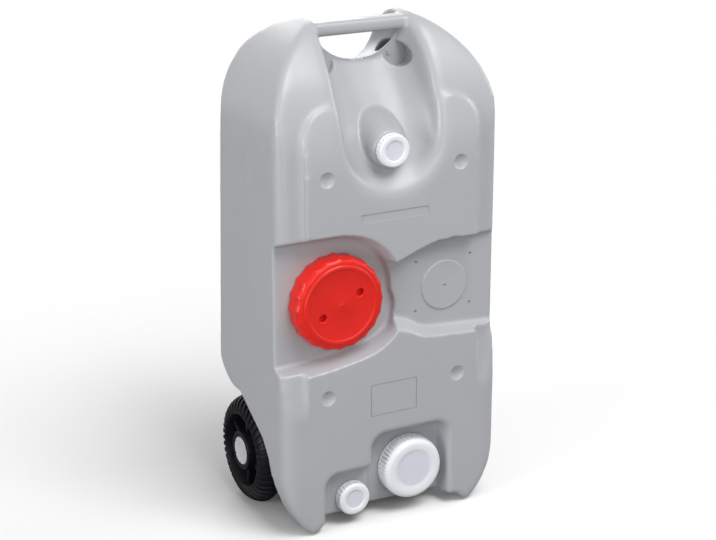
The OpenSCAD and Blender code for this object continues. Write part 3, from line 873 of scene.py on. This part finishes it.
    def side_recess(self) -> Piece:
        """Makes the cutter of the accessory recess, which waves out to the right side.

        Returns:
            The cutter, a closed solid.
        """
        floor, slant, upper_share = 21 * MM, 9 * MM, 0.35
        far, far_low, far_high = self.width / 2 + self.over, 268 * MM, 419 * MM
        low = [
            (-30, 300, 1.6), (2, 297, 1.7), (12, 294, 1.7), (22, 291, 1.8), (33, 286.5, 1.8), (42, 281.5, 1.7),
            (52, 278.5, 1.35), (62, 277.5, 1.1), (85, 276, 1.0), (125, 273.5, 1.0),
        ]
        high = [(125, 421), (100, 423), (75, 422), (55, 417), (40, 412), (22, 405), (8, 400), (-30, 400)]

        def wave(lean: float) -> list[Point]:
            """Gives the recess outline, taken in by its lean.

            Args:
                lean: How far the wall has come in at this depth.

            Returns:
                The outline's points.
            """
            drop = lean * upper_share
            lower = [(x * MM, z * MM + lean * share) for x, z, share in low]
            upper = [(x * MM, z * MM - drop) for x, z in high]
            return [*lower, (far, far_low + lean), (far, far_high - drop), *upper]

        return prism("side_recess", Axis.Y, (-self.over, wave(0)), (0.0, wave(0)), (floor, wave(slant)))

    def pocket(self, cx: float, half: float, top: float, floor: float) -> Piece:
        """Makes a drain pocket's cutter.

        Args:
            cx: Middle of the pocket.
            half: Half of its width.
            top: Height of its upper edge.
            floor: Depth of its floor behind the panel.

        Returns:
            The cutter, open to the front and the bottom.
        """
        r, slant = 24 * MM, 8 * MM

        def arch(lean: float) -> list[Point]:
            """Gives the pocket outline, taken in by its lean."""
            right = [(half - lean, -self.over), *arc(half - r, top - r, r - lean, 0, 90, 12)]
            return [(cx + u, v) for u, v in mirrored(right)]

        return prism("pocket", Axis.Y, (-self.over, arch(0)), (0.0, arch(0)), (floor, arch(slant)))

    def bay_outline(self) -> list[Point]:
        """Gives the wheel bay's outline, from the foot up the straight hood and round to the back.

        Returns:
            The outline's points of y and z.
        """
        slope = math.radians(self.bay_slope)
        near_y = self.axle_y - self.bay_r * math.sin(slope)
        near_z = self.axle_z + self.bay_r * math.cos(slope)
        run, rise = self.bay_r / 2 * math.cos(slope), self.bay_r / 2 * math.sin(slope)
        lip = near_z + rise + self.bay_corner_r
        toe = self.foot_back + 2 * MM
        return [
            (near_y - run, near_z - rise),
            (near_y + run, near_z + rise),
            *arc(self.depth - self.bay_corner_r + self.bay_edge, lip, self.bay_corner_r, -90, 0, 24),
            (self.depth + self.over, lip),
            (self.depth + self.over, -self.over),
            (toe, -self.over),
            (toe, 56 * MM),
            (58 * MM, 112 * MM),
        ]

    def boss(self) -> Piece:
        """Makes the conical boss in the bowl that carries the filler neck.

        Returns:
            The boss, a closed solid.
        """
        z, r, face, widening, edge = 562 * MM, 26 * MM, 14 * MM, 0.42, 1.5 * MM
        back = r + (self.part_y - face) * widening
        radii = ((face, r - edge), (face + edge, r + edge * widening), (self.part_y, back))
        return prism("boss", Axis.Y, *[(y, circle(0.0, z, radius, 96)) for y, radius in radii])

    def add_details(self, skin: Piece) -> None:
        """Adds the pad, webs, pip, dents, bare label frames, drill marks and axle tunnel.

        Args:
            skin: The tank's skin so far.
        """
        carve(skin, self.pad(), Carve.ADD)
        front, back = self.part_y - self.web_half, self.part_y + self.web_half
        for side in (-1, 1):
            fin = [(side * x * MM, z * MM) for x, z in self.web]
            carve(skin, prism("web", Axis.Y, (front, fin), (back, fin)), Carve.ADD)
        pip = circle(self.pip_x, self.pip_z, self.pip_r, 24)
        carve(skin, prism("pip", Axis.Y, (self.part_y - self.pip_proud, pip), (self.part_y, pip)), Carve.ADD)
        bulge = (self.dent_r ** 2 + self.dent_depth ** 2) / (2 * self.dent_depth)
        for x in (-self.dent_x, self.dent_x):
            for z in self.dent_z:
                dent = ball("dent", (bulge, bulge, bulge), (x, self.dent_depth - bulge, z), 96)
                carve(skin, dent, Carve.CUT)
        bar = rounded_box(0.0, self.label_z, *self.label_box)
        carve(skin, prism("label_bar", Axis.Y, (-self.over, bar), (self.label_depth, bar)), Carve.CUT)
        carve(skin, self.label_groove(), Carve.CUT)
        for x in self.mark_x:
            for z in self.mark_z:
                carve(skin, self.drill_mark(x, z), Carve.CUT)
        bore = circle(self.axle_y, self.axle_z, self.axle_bore_r, 48)
        carve(skin, self.across("tunnel", bore), Carve.CUT)

    @staticmethod
    def label_groove() -> Piece:
        """Makes the cutter of the lower label's groove, which leaves its middle bare.

        Returns:
            The cutter, a closed solid.
        """
        z, half_x, half_z, groove, depth = 194.5 * MM, 37.8 * MM, 24.7 * MM, 1.6 * MM, 0.9 * MM
        outer = rounded_box(0.0, z, half_x, half_z, 2.5 * MM)
        inner = rounded_box(0.0, z, half_x - groove, half_z - groove, 1.8 * MM)
        plate = prism("plate", Axis.Y, (-5 * MM, outer), (depth, outer))
        return carve(plate, prism("plate_middle", Axis.Y, (-6 * MM, inner), (1 * MM, inner)), Carve.CUT)

    @staticmethod
    def drill_mark(x: float, z: float) -> Piece:
        """Makes the cutter of a small drill mark beside the pad."""
        mark, point = circle(x, z, 2.3 * MM, 24), circle(x, z, 1.4 * MM, 24)
        return prism("mark", Axis.Y, (10 * MM, mark), (21 * MM, mark), (24 * MM, point))

    @staticmethod
    def pad() -> Piece:
        """Makes the round accessory pad with its softened edge and the small mark at its middle.

        Returns:
            The pad, a closed solid.
        """
        x, z, r, face = 93 * MM, 346 * MM, 38 * MM, 19 * MM

        def ring(radius: float) -> list[Point]:
            """Gives a circle about the pad's middle."""
            return circle(x, z, radius, 96)

        steps = ((24, 0), (20.6, 0), (19.8, 0.5), (19.2, 1.5), (18.8, 3.2))
        pad = prism("pad", Axis.Y, *[(y * MM, ring(r - inward * MM)) for y, inward in steps])
        gate = rounded_box(x, z, 3 * MM, 0.9 * MM, 0.7 * MM)
        return carve(pad, prism("gate", Axis.Y, (face + 1.5 * MM, gate), (face - 5 * MM, gate)), Carve.CUT)


@dataclass(frozen=True)
class Ring:
    """One ring of a turned piece: its radius, its height and how much of the grip shows there."""

    r: float
    z: float
    grip: float = 0.0


def inset_rings(r: float, table: Sequence[Triple]) -> list[Ring]:
    """Gives rings from rows of inset, height and grip, with the lengths in millimetres."""
    return [Ring(r - inset * MM, z * MM, grip) for inset, z, grip in table]


def ringed(name: str, rings: Sequence[Ring], points: int, grip: Callable[[float], float]) -> Piece:
    """Skins rings about the Z axis whose radius swings with a grip pattern.

    Args:
        name: Name of the new piece.
        rings: The rings, in order along the section.
        points: Points in each ring.
        grip: Depth of the grip pattern at an angle in radians.

    Returns:
        A closed solid about the Z axis.
    """
    turns = [math.tau * i / points for i in range(points)]
    depths = [grip(a) for a in turns]
    sections = []
    for ring in rings:
        radii = [ring.r - ring.grip * d for d in depths]
        sections.append([(r * math.cos(a), r * math.sin(a), ring.z) for r, a in zip(radii, turns)])
    return loft(name, sections)


def facing_front(node: str) -> Matrix:
    """Stands a piece drawn about the Z axis on a CAD node's back face, pointing to the front.

    Args:
        node: The node's name.

    Returns:
        Where the piece's mesh goes.
    """
    low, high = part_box(node)
    middle = (low + high) / 2
    return Matrix.Translation((middle.x, high.y, middle.z)) @ Matrix.Rotation(math.radians(90), 4, "X")


@dataclass
class InspectionCap:
    """The large red cap with its grip lobes, raised ring and two spanner holes.

    The section's rows are inset from the outer radius, height and share of the scallops.
    """

    r: float = 70 * MM
    face: float = 29.4 * MM
    lobes: int = 20
    scallop: float = 2.0 * MM
    hole_r: float = 6.0 * MM
    hole_x: float = 33 * MM
    hole_depth: float = 8.0 * MM
    hole_edge: float = 0.6 * MM
    hole_wall: float = 1.6 * MM
    hole_angle: float = 27.0
    crease: float = 32.0
    section: tuple[Triple, ...] = (
        (7.0, 27.5, 0.0), (7.0, 1.0, 0.0), (6.2, 0.0, 0.0), (1.2, 0.0, 1.0), (0.3, 0.4, 1.0), (0.0, 1.4, 1.0),
        (0.0, 12.0, 1.0), (0.0, 19.0, 1.0), (0.5, 21.8, 0.96), (1.7, 24.4, 0.85), (3.6, 26.6, 0.62),
        (6.2, 28.2, 0.34), (8.8, 29.0, 0.1), (10.2, 29.1, 0.0), (10.9, 28.9, 0.0), (11.5, 29.3, 0.0),
        (12.1, 30.3, 0.0), (13.1, 30.9, 0.0), (16.2, 30.9, 0.0), (17.3, 30.4, 0.0), (18.0, 29.7, 0.0),
        (19.0, 29.4, 0.0), (46.0, 29.4, 0.0), (67.0, 29.4, 0.0), (67.6, 29.6, 0.0), (68.1, 30.1, 0.0),
        (69.1, 30.3, 0.0),
    )

    def build(self) -> None:
        """Models the cap, cuts its spanner holes and dresses it."""
        rings = inset_rings(self.r, self.section)
        cap = ringed("red_inspection_cap", rings, self.lobes * 12, self.lobe_depth)
        turn = math.radians(self.hole_angle)
        for side in (-1, 1):
            reach = side * self.hole_x
            self.bore_hole(cap, reach * math.cos(turn), reach * math.sin(turn))
        moved(cap, facing_front("inspection_cap"))
        shade(cap, self.crease)
        CAP_RED.dress(cap, "inspection_cap", "inspection_cap")

    def bore_hole(self, cap: Piece, x: float, y: float) -> None:
        """Adds a spanner hole's cup below the face and bores it out.

        Args:
            cap: The cap, still about the Z axis.
            x: First coordinate of the hole.
            y: Second coordinate of the hole.
        """
        floor, clear = self.face - self.hole_depth, 3 * MM
        bore = circle(x, y, self.hole_r, 48)
        mouth = circle(x, y, self.hole_r + self.hole_edge, 48)
        cup = circle(x, y, self.hole_r + self.hole_wall, 48)
        cup_steps = ((floor - self.hole_wall, cup), (self.face - self.hole_wall, cup))
        carve(cap, prism("cup", Axis.Z, *cup_steps), Carve.ADD)
        lip = ((self.face + 0.05 * MM, mouth), (self.face + clear, mouth))
        carve(cap, prism("hole", Axis.Z, (floor, bore), (self.face - self.hole_edge, bore), *lip), Carve.CUT)

    def lobe_depth(self, angle: float) -> float:
        """Gives the scallop's depth: none on a lobe's sharp crest, most between two lobes."""
        return self.scallop * abs(math.sin(angle * self.lobes / 2))


@dataclass
class WhiteCap:
    """A white cap with a finely ribbed side, a soft rim and a thin, dished middle."""

    node: str
    r: float
    height: float
    skirt: float
    rib_pitch: float = 6.0 * MM
    rib_depth: float = 1.4 * MM
    top: float = 3.5 * MM
    dish: float = 1.6 * MM
    dish_share: float = 0.62
    edge_share: float = 0.34
    dish_soft: float = 4.5 * MM
    crease: float = 40.0

    def build(self) -> None:
        """Models the cap, dresses it and gives its dished middle a darker, bluer tone, with a ring of a halfway
        tone round it.
        """
        edge = self.height * self.edge_share
        inner = self.r - self.skirt
        dish_r = self.r * self.dish_share
        rings = [
            Ring(inner, self.height - self.top),
            Ring(inner, 0.6 * MM),
            Ring(inner + 0.5 * MM, 0.0),
            Ring(self.r - 0.8 * MM, 0.0),
            Ring(self.r, 0.8 * MM),
            Ring(self.r, 1.6 * MM),
            Ring(self.r, 2.0 * MM, 1.0),
            Ring(self.r, self.height - edge - 0.5 * MM, 1.0),
            Ring(self.r - 0.1 * MM, self.height - edge + 0.8 * MM, 0.7),
        ]
        for turn in range(12, 91, 6):
            a = math.radians(turn)
            fade = max(0.0, 0.75 - turn / 60)
            rings.append(Ring(self.r - edge * (1 - math.cos(a)), self.height - edge + edge * math.sin(a), fade))
        for share in (0.0, 0.15, 0.3, 0.45, 0.6, 0.75, 0.9, 1.0):
            sink = self.dish * (3 * share ** 2 - 2 * share ** 3)
            rings.append(Ring(dish_r + (1 - 2 * share) * self.dish_soft, self.height - sink))
        floor = self.height - self.dish
        rings += [Ring(dish_r * 0.5, floor), Ring(dish_r * 0.2, floor - 0.1 * MM)]
        ribs = round(math.tau * self.r / self.rib_pitch)

        def groove(angle: float) -> float:
            """Gives the depth at an angle: none on a rib, most between two."""
            return self.rib_depth * (0.5 - 0.5 * math.cos(ribs * angle))

        cap = ringed(f"white_{self.node}", rings, ribs * 6, groove)
        moved(cap, facing_front(self.node))
        shade(cap, self.crease)
        CAP_WHITE.dress(cap, self.node, self.node)
        # The dished middle is coloured darker and bluer, and a ring round its edge takes a tone halfway
        # between.
        cap.data.materials.append(CAP_DARK_MIDDLE_EDGE.material())
        cap.data.materials.append(CAP_DARK_MIDDLE.material())
        low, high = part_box(self.node)
        middle = (low + high) / 2
        band = self.dish_soft * 0.4
        for face in cap.data.polygons:
            away = math.hypot(face.center.x - middle.x, face.center.z - middle.z)
            if face.center.y < low.y + self.top and away < dish_r + band:
                face.material_index = 1 if away > dish_r - band else 2


@dataclass
class Collar:
    """A neck's collar with its raised screw thread and open bore."""

    node: str
    pitch: float
    wall: float = 4.5 * MM
    thread: float = 1.1 * MM
    points: int = 60
    lead_in: float = 2.5 * MM
    sunk: float = 1.5 * MM
    edge: float = 0.8 * MM
    crease: float = 40.0

    def build(self) -> None:
        """Models the collar to its CAD node's size and dresses it."""
        low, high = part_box(self.node)
        r, length = (high.x - low.x) / 2, high.y - low.y
        bore, core, edge = r - self.wall, r - self.thread, self.edge
        turns = [math.tau * i / self.points for i in range(self.points)]
        path = [(bore, -self.sunk), (bore, length - edge), (bore + edge, length), (core - edge, length)]
        sections = [[(q * math.cos(a), q * math.sin(a), z) for a in turns] for q, z in path]
        steps = round((length - 1.0 * MM) / (self.pitch / 8))
        for i in range(steps + 1):
            z = (length - edge) * (1 - i / steps)
            sections.append([self.thread_point(core, z, a, length) for a in turns])
        sections.append([(core * math.cos(a), core * math.sin(a), -self.sunk) for a in turns])
        collar = loft(self.node.replace("collar", "neck"), sections, wrap=True)
        moved(collar, facing_front(self.node))
        shade(collar, self.crease)
        TANK_GREY.dress(collar, "tank", self.node)

    def thread_point(self, core: float, z: float, angle: float, length: float) -> Triple:
        """Gives a point of the threaded outside.

        Args:
            core: Radius at the thread's root.
            z: Height on the collar.
            angle: Angle about the axis.
            length: The collar's length.

        Returns:
            The point about the Z axis.
        """
        phase = (z / self.pitch - angle / math.tau) % 1.0
        crest = max(0.0, math.cos((phase - 0.5) * math.tau)) ** 0.7
        near_end = min(length - z, z) / self.lead_in
        fade = min(1.0, max(0.0, near_end - 0.4))
        r = core + self.thread * 0.9 * crest * fade
        return (r * math.cos(angle), r * math.sin(angle), z)


def on_axle(node: str, side: int) -> Matrix:
    """Puts a piece drawn about the Z axis on the axle line, with Z pointing out of the tank's side.

    Args:
        node: The CAD node whose inner face it starts from.
        side: 1 on the right, -1 on the left.

    Returns:
        The matrix, which mirrors the left-hand piece.
    """
    low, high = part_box(node)
    middle = (low + high) / 2
    inner = low.x if side > 0 else high.x
    flip = Matrix.Scale(side, 4, (1.0, 0.0, 0.0))
    return Matrix.Translation((inner, middle.y, middle.z)) @ flip @ Matrix.Rotation(math.radians(90), 4, "Y")


def both_sides(piece: Piece, stem: str, node: str, finish: Finish) -> None:
    """Sets a piece drawn about the Z axis and its copy on the two wheels, and dresses both.

    Args:
        piece: The piece, which becomes the left one.
        stem: Start of both pieces' names.
        node: Start of the CAD nodes' names.
        finish: The finish of both.
    """
    crease = 34.0
    pieces = [piece, copied(piece, f"{stem}_twin")]
    for one, word, side in zip(pieces, ("left", "right"), (-1, 1)):
        one.name = f"{stem}_{word}"
        moved(one, on_axle(f"{node}_{word}", side))
        shade(one, crease)
        finish.dress(one, f"{word}_wheel", f"{node}_{word}")


@dataclass
class Wheel:
    """A moulded wheel: a turned carcass with side spokes and curved ribs over its tread.

    The section's tables are radius and height in millimetres, from the tank's side outwards.
    """

    width: float = 44 * MM
    steps: int = 160
    ribs: int = 40
    spokes: int = 6
    rib_height: float = 2.6 * MM
    rib_root: float = 1.2 * MM
    rib_base: float = 8.0 * MM
    rib_top: float = 5.6 * MM
    rib_sweep: float = 8.0
    rib_start: tuple[Point, ...] = ((59.5, 43.4), (61.5, 42.8))
    inner_side: tuple[Point, ...] = (
        (6.2, 0.0), (27.0, 0.0), (29.0, 0.8), (30.0, 2.5), (30.6, 8.4), (31.6, 9.0), (51.4, 9.0), (52.6, 8.2),
        (55.6, 2.6), (57.0, 1.4), (59.5, 0.9),
    )
    crown: tuple[Point, ...] = (
        (63.0, 1.6), (66.5, 3.0), (70.0, 5.2), (73.4, 8.6), (76.0, 12.4), (78.0, 16.6), (79.1, 20.0),
        (79.4, 22.0), (79.1, 24.0), (78.0, 27.4), (76.0, 31.6), (73.4, 35.4), (70.0, 38.8), (66.5, 41.0),
        (63.0, 42.4),
    )
    outer_side: tuple[Point, ...] = (
        (60.0, 43.4), (58.0, 43.7), (56.4, 43.2), (55.4, 42.0), (53.6, 24.4), (52.6, 21.9), (51.2, 21.0),
        (33.0, 21.0), (31.4, 21.8), (30.6, 23.6), (30.0, 41.6), (29.4, 43.4), (28.2, 44.3), (24.0, 44.4),
        (22.4, 44.0), (21.3, 43.2), (21.1, 39.0), (20.0, 39.0), (20.0, 29.8), (6.2, 29.8),
    )

    def build(self) -> None:
        """Models one wheel, copies it for the other side and dresses both."""
        section = (*self.inner_side, *self.crown, *self.outer_side)
        wheel = turned("wheel", [(r * MM, z * MM) for r, z in section], self.steps)
        carve(wheel, self.all_round(self.rib(), self.ribs), Carve.ADD)
        carve(wheel, self.all_round(self.spoke(), self.spokes), Carve.ADD)
        both_sides(wheel, "ribbed_wheel", "wheel", WHEEL_BLACK)

    @staticmethod
    def all_round(part: Piece, count: int) -> Piece:
        """Copies a part round the axle and joins the copies.

        Args:
            part: The part, about the Z axis.
            count: Number of parts in the end.

        Returns:
            All of them as one piece.
        """
        twins = []
        for i in range(1, count):
            turn = Matrix.Rotation(math.tau * i / count, 4, "Z")
            twins.append(moved(copied(part, f"{part.name}_{i}"), turn))
        pick(part)
        for twin in twins:
            twin.select_set(True)
        bpy.ops.object.join()
        return part

    def rib(self) -> Piece:
        """Makes one rib, which runs across the tread in a curve and thins out on the shoulders.

        Returns:
            The rib, a closed solid.
        """
        sections = []
        for r, z in (*self.rib_start, *reversed(self.crown)):
            across = z * MM / self.width * 2 - 1
            middle = math.radians(self.rib_sweep) * across * across
            lift = self.rib_height * max(0.25, min(1.0, 1.55 - abs(across) ** 3))
            lean = math.atan2(max(0.0, abs(across) - 0.35) * 1.6, 1.0) * (1 if across > 0 else -1)
            left = [
                (-self.rib_base, -self.rib_root),
                (-self.rib_top - 0.5 * MM, lift - 0.7 * MM),
                (-self.rib_top + 0.8 * MM, lift),
            ]
            ring = []
            for side, height in mirrored(left):
                a = middle + side / 2 / (r * MM)
                out = r * MM + height * math.cos(lean)
                ring.append((out * math.cos(a), out * math.sin(a), z * MM + height * math.sin(lean)))
            sections.append(ring)
        return loft("rib", sections)

    @staticmethod
    def spoke() -> Piece:
        """Makes one low spoke between the hub's ring and the rim.

        Returns:
            The spoke, a closed solid.
        """
        middle, half = 42 * MM, 13 * MM
        foot = rounded_box(middle, 0.0, half, 4.6 * MM, 2.0 * MM, 4)
        crest = rounded_box(middle, 0.0, half, 3.6 * MM, 1.6 * MM, 4)
        edge = rounded_box(middle, 0.0, half - 0.5 * MM, 2.8 * MM, 1.2 * MM, 4)
        return prism("spoke", Axis.Z, (20 * MM, foot), (32.4 * MM, crest), (33.4 * MM, edge))


@dataclass
class HubCap:
    """The pale disc that closes the hub, with small notches round its edge.

    The section's rows are inset from the outer radius, height and share of the notches.
    """

    r: float = 21.0 * MM
    points: int = 216
    notches: int = 6
    notch_depth: float = 2.0 * MM
    notch_half: float = 5.0
    section: tuple[Triple, ...] = (
        (3.0, 4.0, 0.0), (3.0, 0.3, 0.0), (2.7, 0.0, 0.0), (0.4, 0.0, 0.0), (0.0, 0.4, 0.0), (0.0, 2.6, 0.0),
        (0.0, 2.7, 1.0), (0.0, 4.5, 1.0), (0.3, 5.1, 1.0), (1.0, 5.5, 0.9), (2.9, 5.5, 0.0), (5.4, 5.5, 0.0),
        (6.0, 5.2, 0.0), (6.6, 5.0, 0.0), (16.0, 5.1, 0.0), (20.0, 5.15, 0.0),
    )

    def build(self) -> None:
        """Models one cap, copies it for the other side and dresses both."""
        cap = ringed("hub_disc", inset_rings(self.r, self.section), self.points, self.notch)
        both_sides(cap, "hub_disc", "hub_cap", HUB_GREY)

    def notch(self, angle: float) -> float:
        """Gives the notch depth at an angle: full inside a notch, none between them.

        Args:
            angle: The angle about the axle, in radians.

        Returns:
            The depth.
        """
        step = 360.0 / self.notches
        away = abs((math.degrees(angle) + step / 2) % step - step / 2)
        return self.notch_depth if away < self.notch_half else 0.0


def paint_fittings() -> None:
    """Gives the axle, its washers and retainers, and the seals their finishes."""
    AXLE_STEEL.paint("axle")
    for word in ("left", "right"):
        WASHER_ZINC.paint(f"inner_washer_{word}")
        WASHER_ZINC.paint(f"outer_washer_{word}")
        RETAINER_STEEL.paint(f"retainer_{word}")
    for word in ("inspection", "filler", "large_drain", "small_drain"):
        SEAL_RUBBER.paint(f"{word}_seal")


@dataclass
class Studio:
    """The pale floor, the soft lamps and the camera at the photograph's angle."""

    eye: Triple = (-1.1880, -2.26955, 1.2218)
    aim: Triple = (-0.0590, -0.12065, 0.3980)
    lens: float = 92.09
    floor_side: float = 6.0
    floor_near: float = 0.45
    floor_far: float = 1.15
    fill: float = 0.22

    def build(self) -> None:
        """Sets the whole stage."""
        self.lay_floor()
        self.light_world()
        self.lamp("key", (0.7, -2.3, 4.3), (0.0, 0.0, 0.4), 2.6, 164.0)
        self.lamp("front", (-0.6, -3.0, 1.4), (0.0, 0.0, 0.4), 2.0, 22.0)
        self.lamp("left", (-4.0, -0.9, 0.9), (0.0, 0.0, 0.3), 1.8, 93.0)
        self.lamp("right", (2.6, -0.4, 1.4), (0.0, 0.0, 0.4), 1.2, 18.0)
        self.lamp("back", (0.6, 2.6, 1.6), (0.0, 0.0, 0.35), 1.6, 24.0)
        self.set_camera()
        bpy.context.scene.view_settings.view_transform = "Standard"

    def lay_floor(self) -> None:
        """Lays the floor that keeps the object's shadow and thins out into the white room."""
        deselect()
        bpy.ops.mesh.primitive_plane_add(size=self.floor_side, location=(0, 0, 0))
        floor = bpy.context.active_object
        floor.name = "floor"
        material = bpy.data.materials.new("floor_paper")
        material.use_nodes = True
        tree = material.node_tree
        seen = add_node(tree, "LightPath", {}).outputs["Is Camera Ray"]
        greys = {"A": (0.34, 0.34, 0.34, 1.0), "B": (0.9, 0.9, 0.9, 1.0), "Factor": seen}
        paper = add_node(tree, "Mix", greys, data_type="RGBA").outputs["Result"]
        matt = {"Base Color": paper, "Roughness": 0.9, "Specular IOR Level": 0.0}
        shader = feed(tree.nodes["Principled BSDF"], matt)
        place = add_node(tree, "TexCoord", {}).outputs["Object"]
        away = add_node(tree, "VectorMath", {0: place}, operation="LENGTH").outputs["Value"]
        reach = {"Value": away, "From Min": self.floor_near, "From Max": self.floor_far}
        thin = add_node(tree, "MapRange", reach, interpolation_type="SMOOTHSTEP").outputs["Result"]
        share = add_node(tree, "Math", {0: thin, 1: seen}, operation="MULTIPLY").outputs[0]
        clear = add_node(tree, "BsdfTransparent", {}).outputs["BSDF"]
        mix = add_node(tree, "MixShader", {"Fac": share, 1: shader.outputs["BSDF"], 2: clear})
        feed(tree.nodes["Material Output"], {"Surface": mix.outputs["Shader"]})
        floor.data.materials.append(material)

    def light_world(self) -> None:
        """Fills the room with soft light and shows white to the camera and in reflections."""
        world = bpy.data.worlds.new("studio")
        bpy.context.scene.world = world
        world.use_nodes = True
        tree = world.node_tree
        tree.nodes.clear()
        white = (1.0, 1.0, 1.0, 1.0)
        soft = add_node(tree, "Background", {"Color": white, "Strength": self.fill}).outputs[0]
        room = add_node(tree, "Background", {"Color": white, "Strength": 1.0}).outputs[0]
        rays = add_node(tree, "LightPath", {}).outputs
        seen = {0: rays["Is Camera Ray"], 1: rays["Is Glossy Ray"]}
        first = add_node(tree, "Math", seen, operation="MAXIMUM").outputs[0]
        through = {0: first, 1: rays["Is Transmission Ray"]}
        share = add_node(tree, "Math", through, operation="MAXIMUM").outputs[0]
        mix = add_node(tree, "MixShader", {"Fac": share, 1: soft, 2: room}).outputs[0]
        add_node(tree, "OutputWorld", {"Surface": mix})

    @staticmethod
    def facing(place: Triple, aim: Triple) -> Euler:
        """Gives the turn that points a lamp or camera from its place to its aim."""
        return (Vector(aim) - Vector(place)).to_track_quat("-Z", "Y").to_euler()

    @classmethod
    def lamp(cls, name: str, place: Triple, aim: Triple, size: float, watts: float) -> None:
        """Hangs a square soft lamp.

        Args:
            name: The lamp's name.
            place: Where it hangs.
            aim: The point that it faces.
            size: Length of its sides.
            watts: Its power.
        """
        deselect()
        bpy.ops.object.light_add(type="AREA", location=place)
        lamp = bpy.context.active_object
        lamp.name = name
        lamp.data.size = size
        lamp.data.energy = watts
        lamp.rotation_euler = cls.facing(place, aim)

    def set_camera(self) -> None:
        """Stands the camera where the photograph was taken from."""
        deselect()
        bpy.ops.object.camera_add(location=self.eye)
        camera = bpy.context.active_object
        camera.rotation_euler = self.facing(self.eye, self.aim)
        camera.data.sensor_width = 36.0
        camera.data.lens = self.lens
        camera.data.clip_end = 50.0
        bpy.context.scene.camera = camera


def main() -> None:
    """Builds every sub-assembly in order."""
    logging.basicConfig(level=logging.INFO, format="%(name)s: %(message)s")
    Studio().build()
    Tank().build()
    pitches = {"inspection": 5.0, "filler": 3.0, "large_drain": 4.0, "small_drain": 3.0}
    for word, pitch in pitches.items():
        Collar(f"{word}_collar", pitch * MM).build()
    InspectionCap().build()
    WhiteCap("filler_cap", 24 * MM, 12 * MM, 3.5 * MM, dish_soft=1.0 * MM, edge_share=0.28).build()
    WhiteCap("large_drain_cap", 47.5 * MM, 27 * MM, 4.5 * MM).build()
    WhiteCap("small_drain_cap", 25.25 * MM, 15 * MM, 3.5 * MM, dish_share=0.58, dish_soft=2.0 * MM).build()
    Wheel().build()
    HubCap().build()
    paint_fittings()


if __name__ == "__main__":
    main()
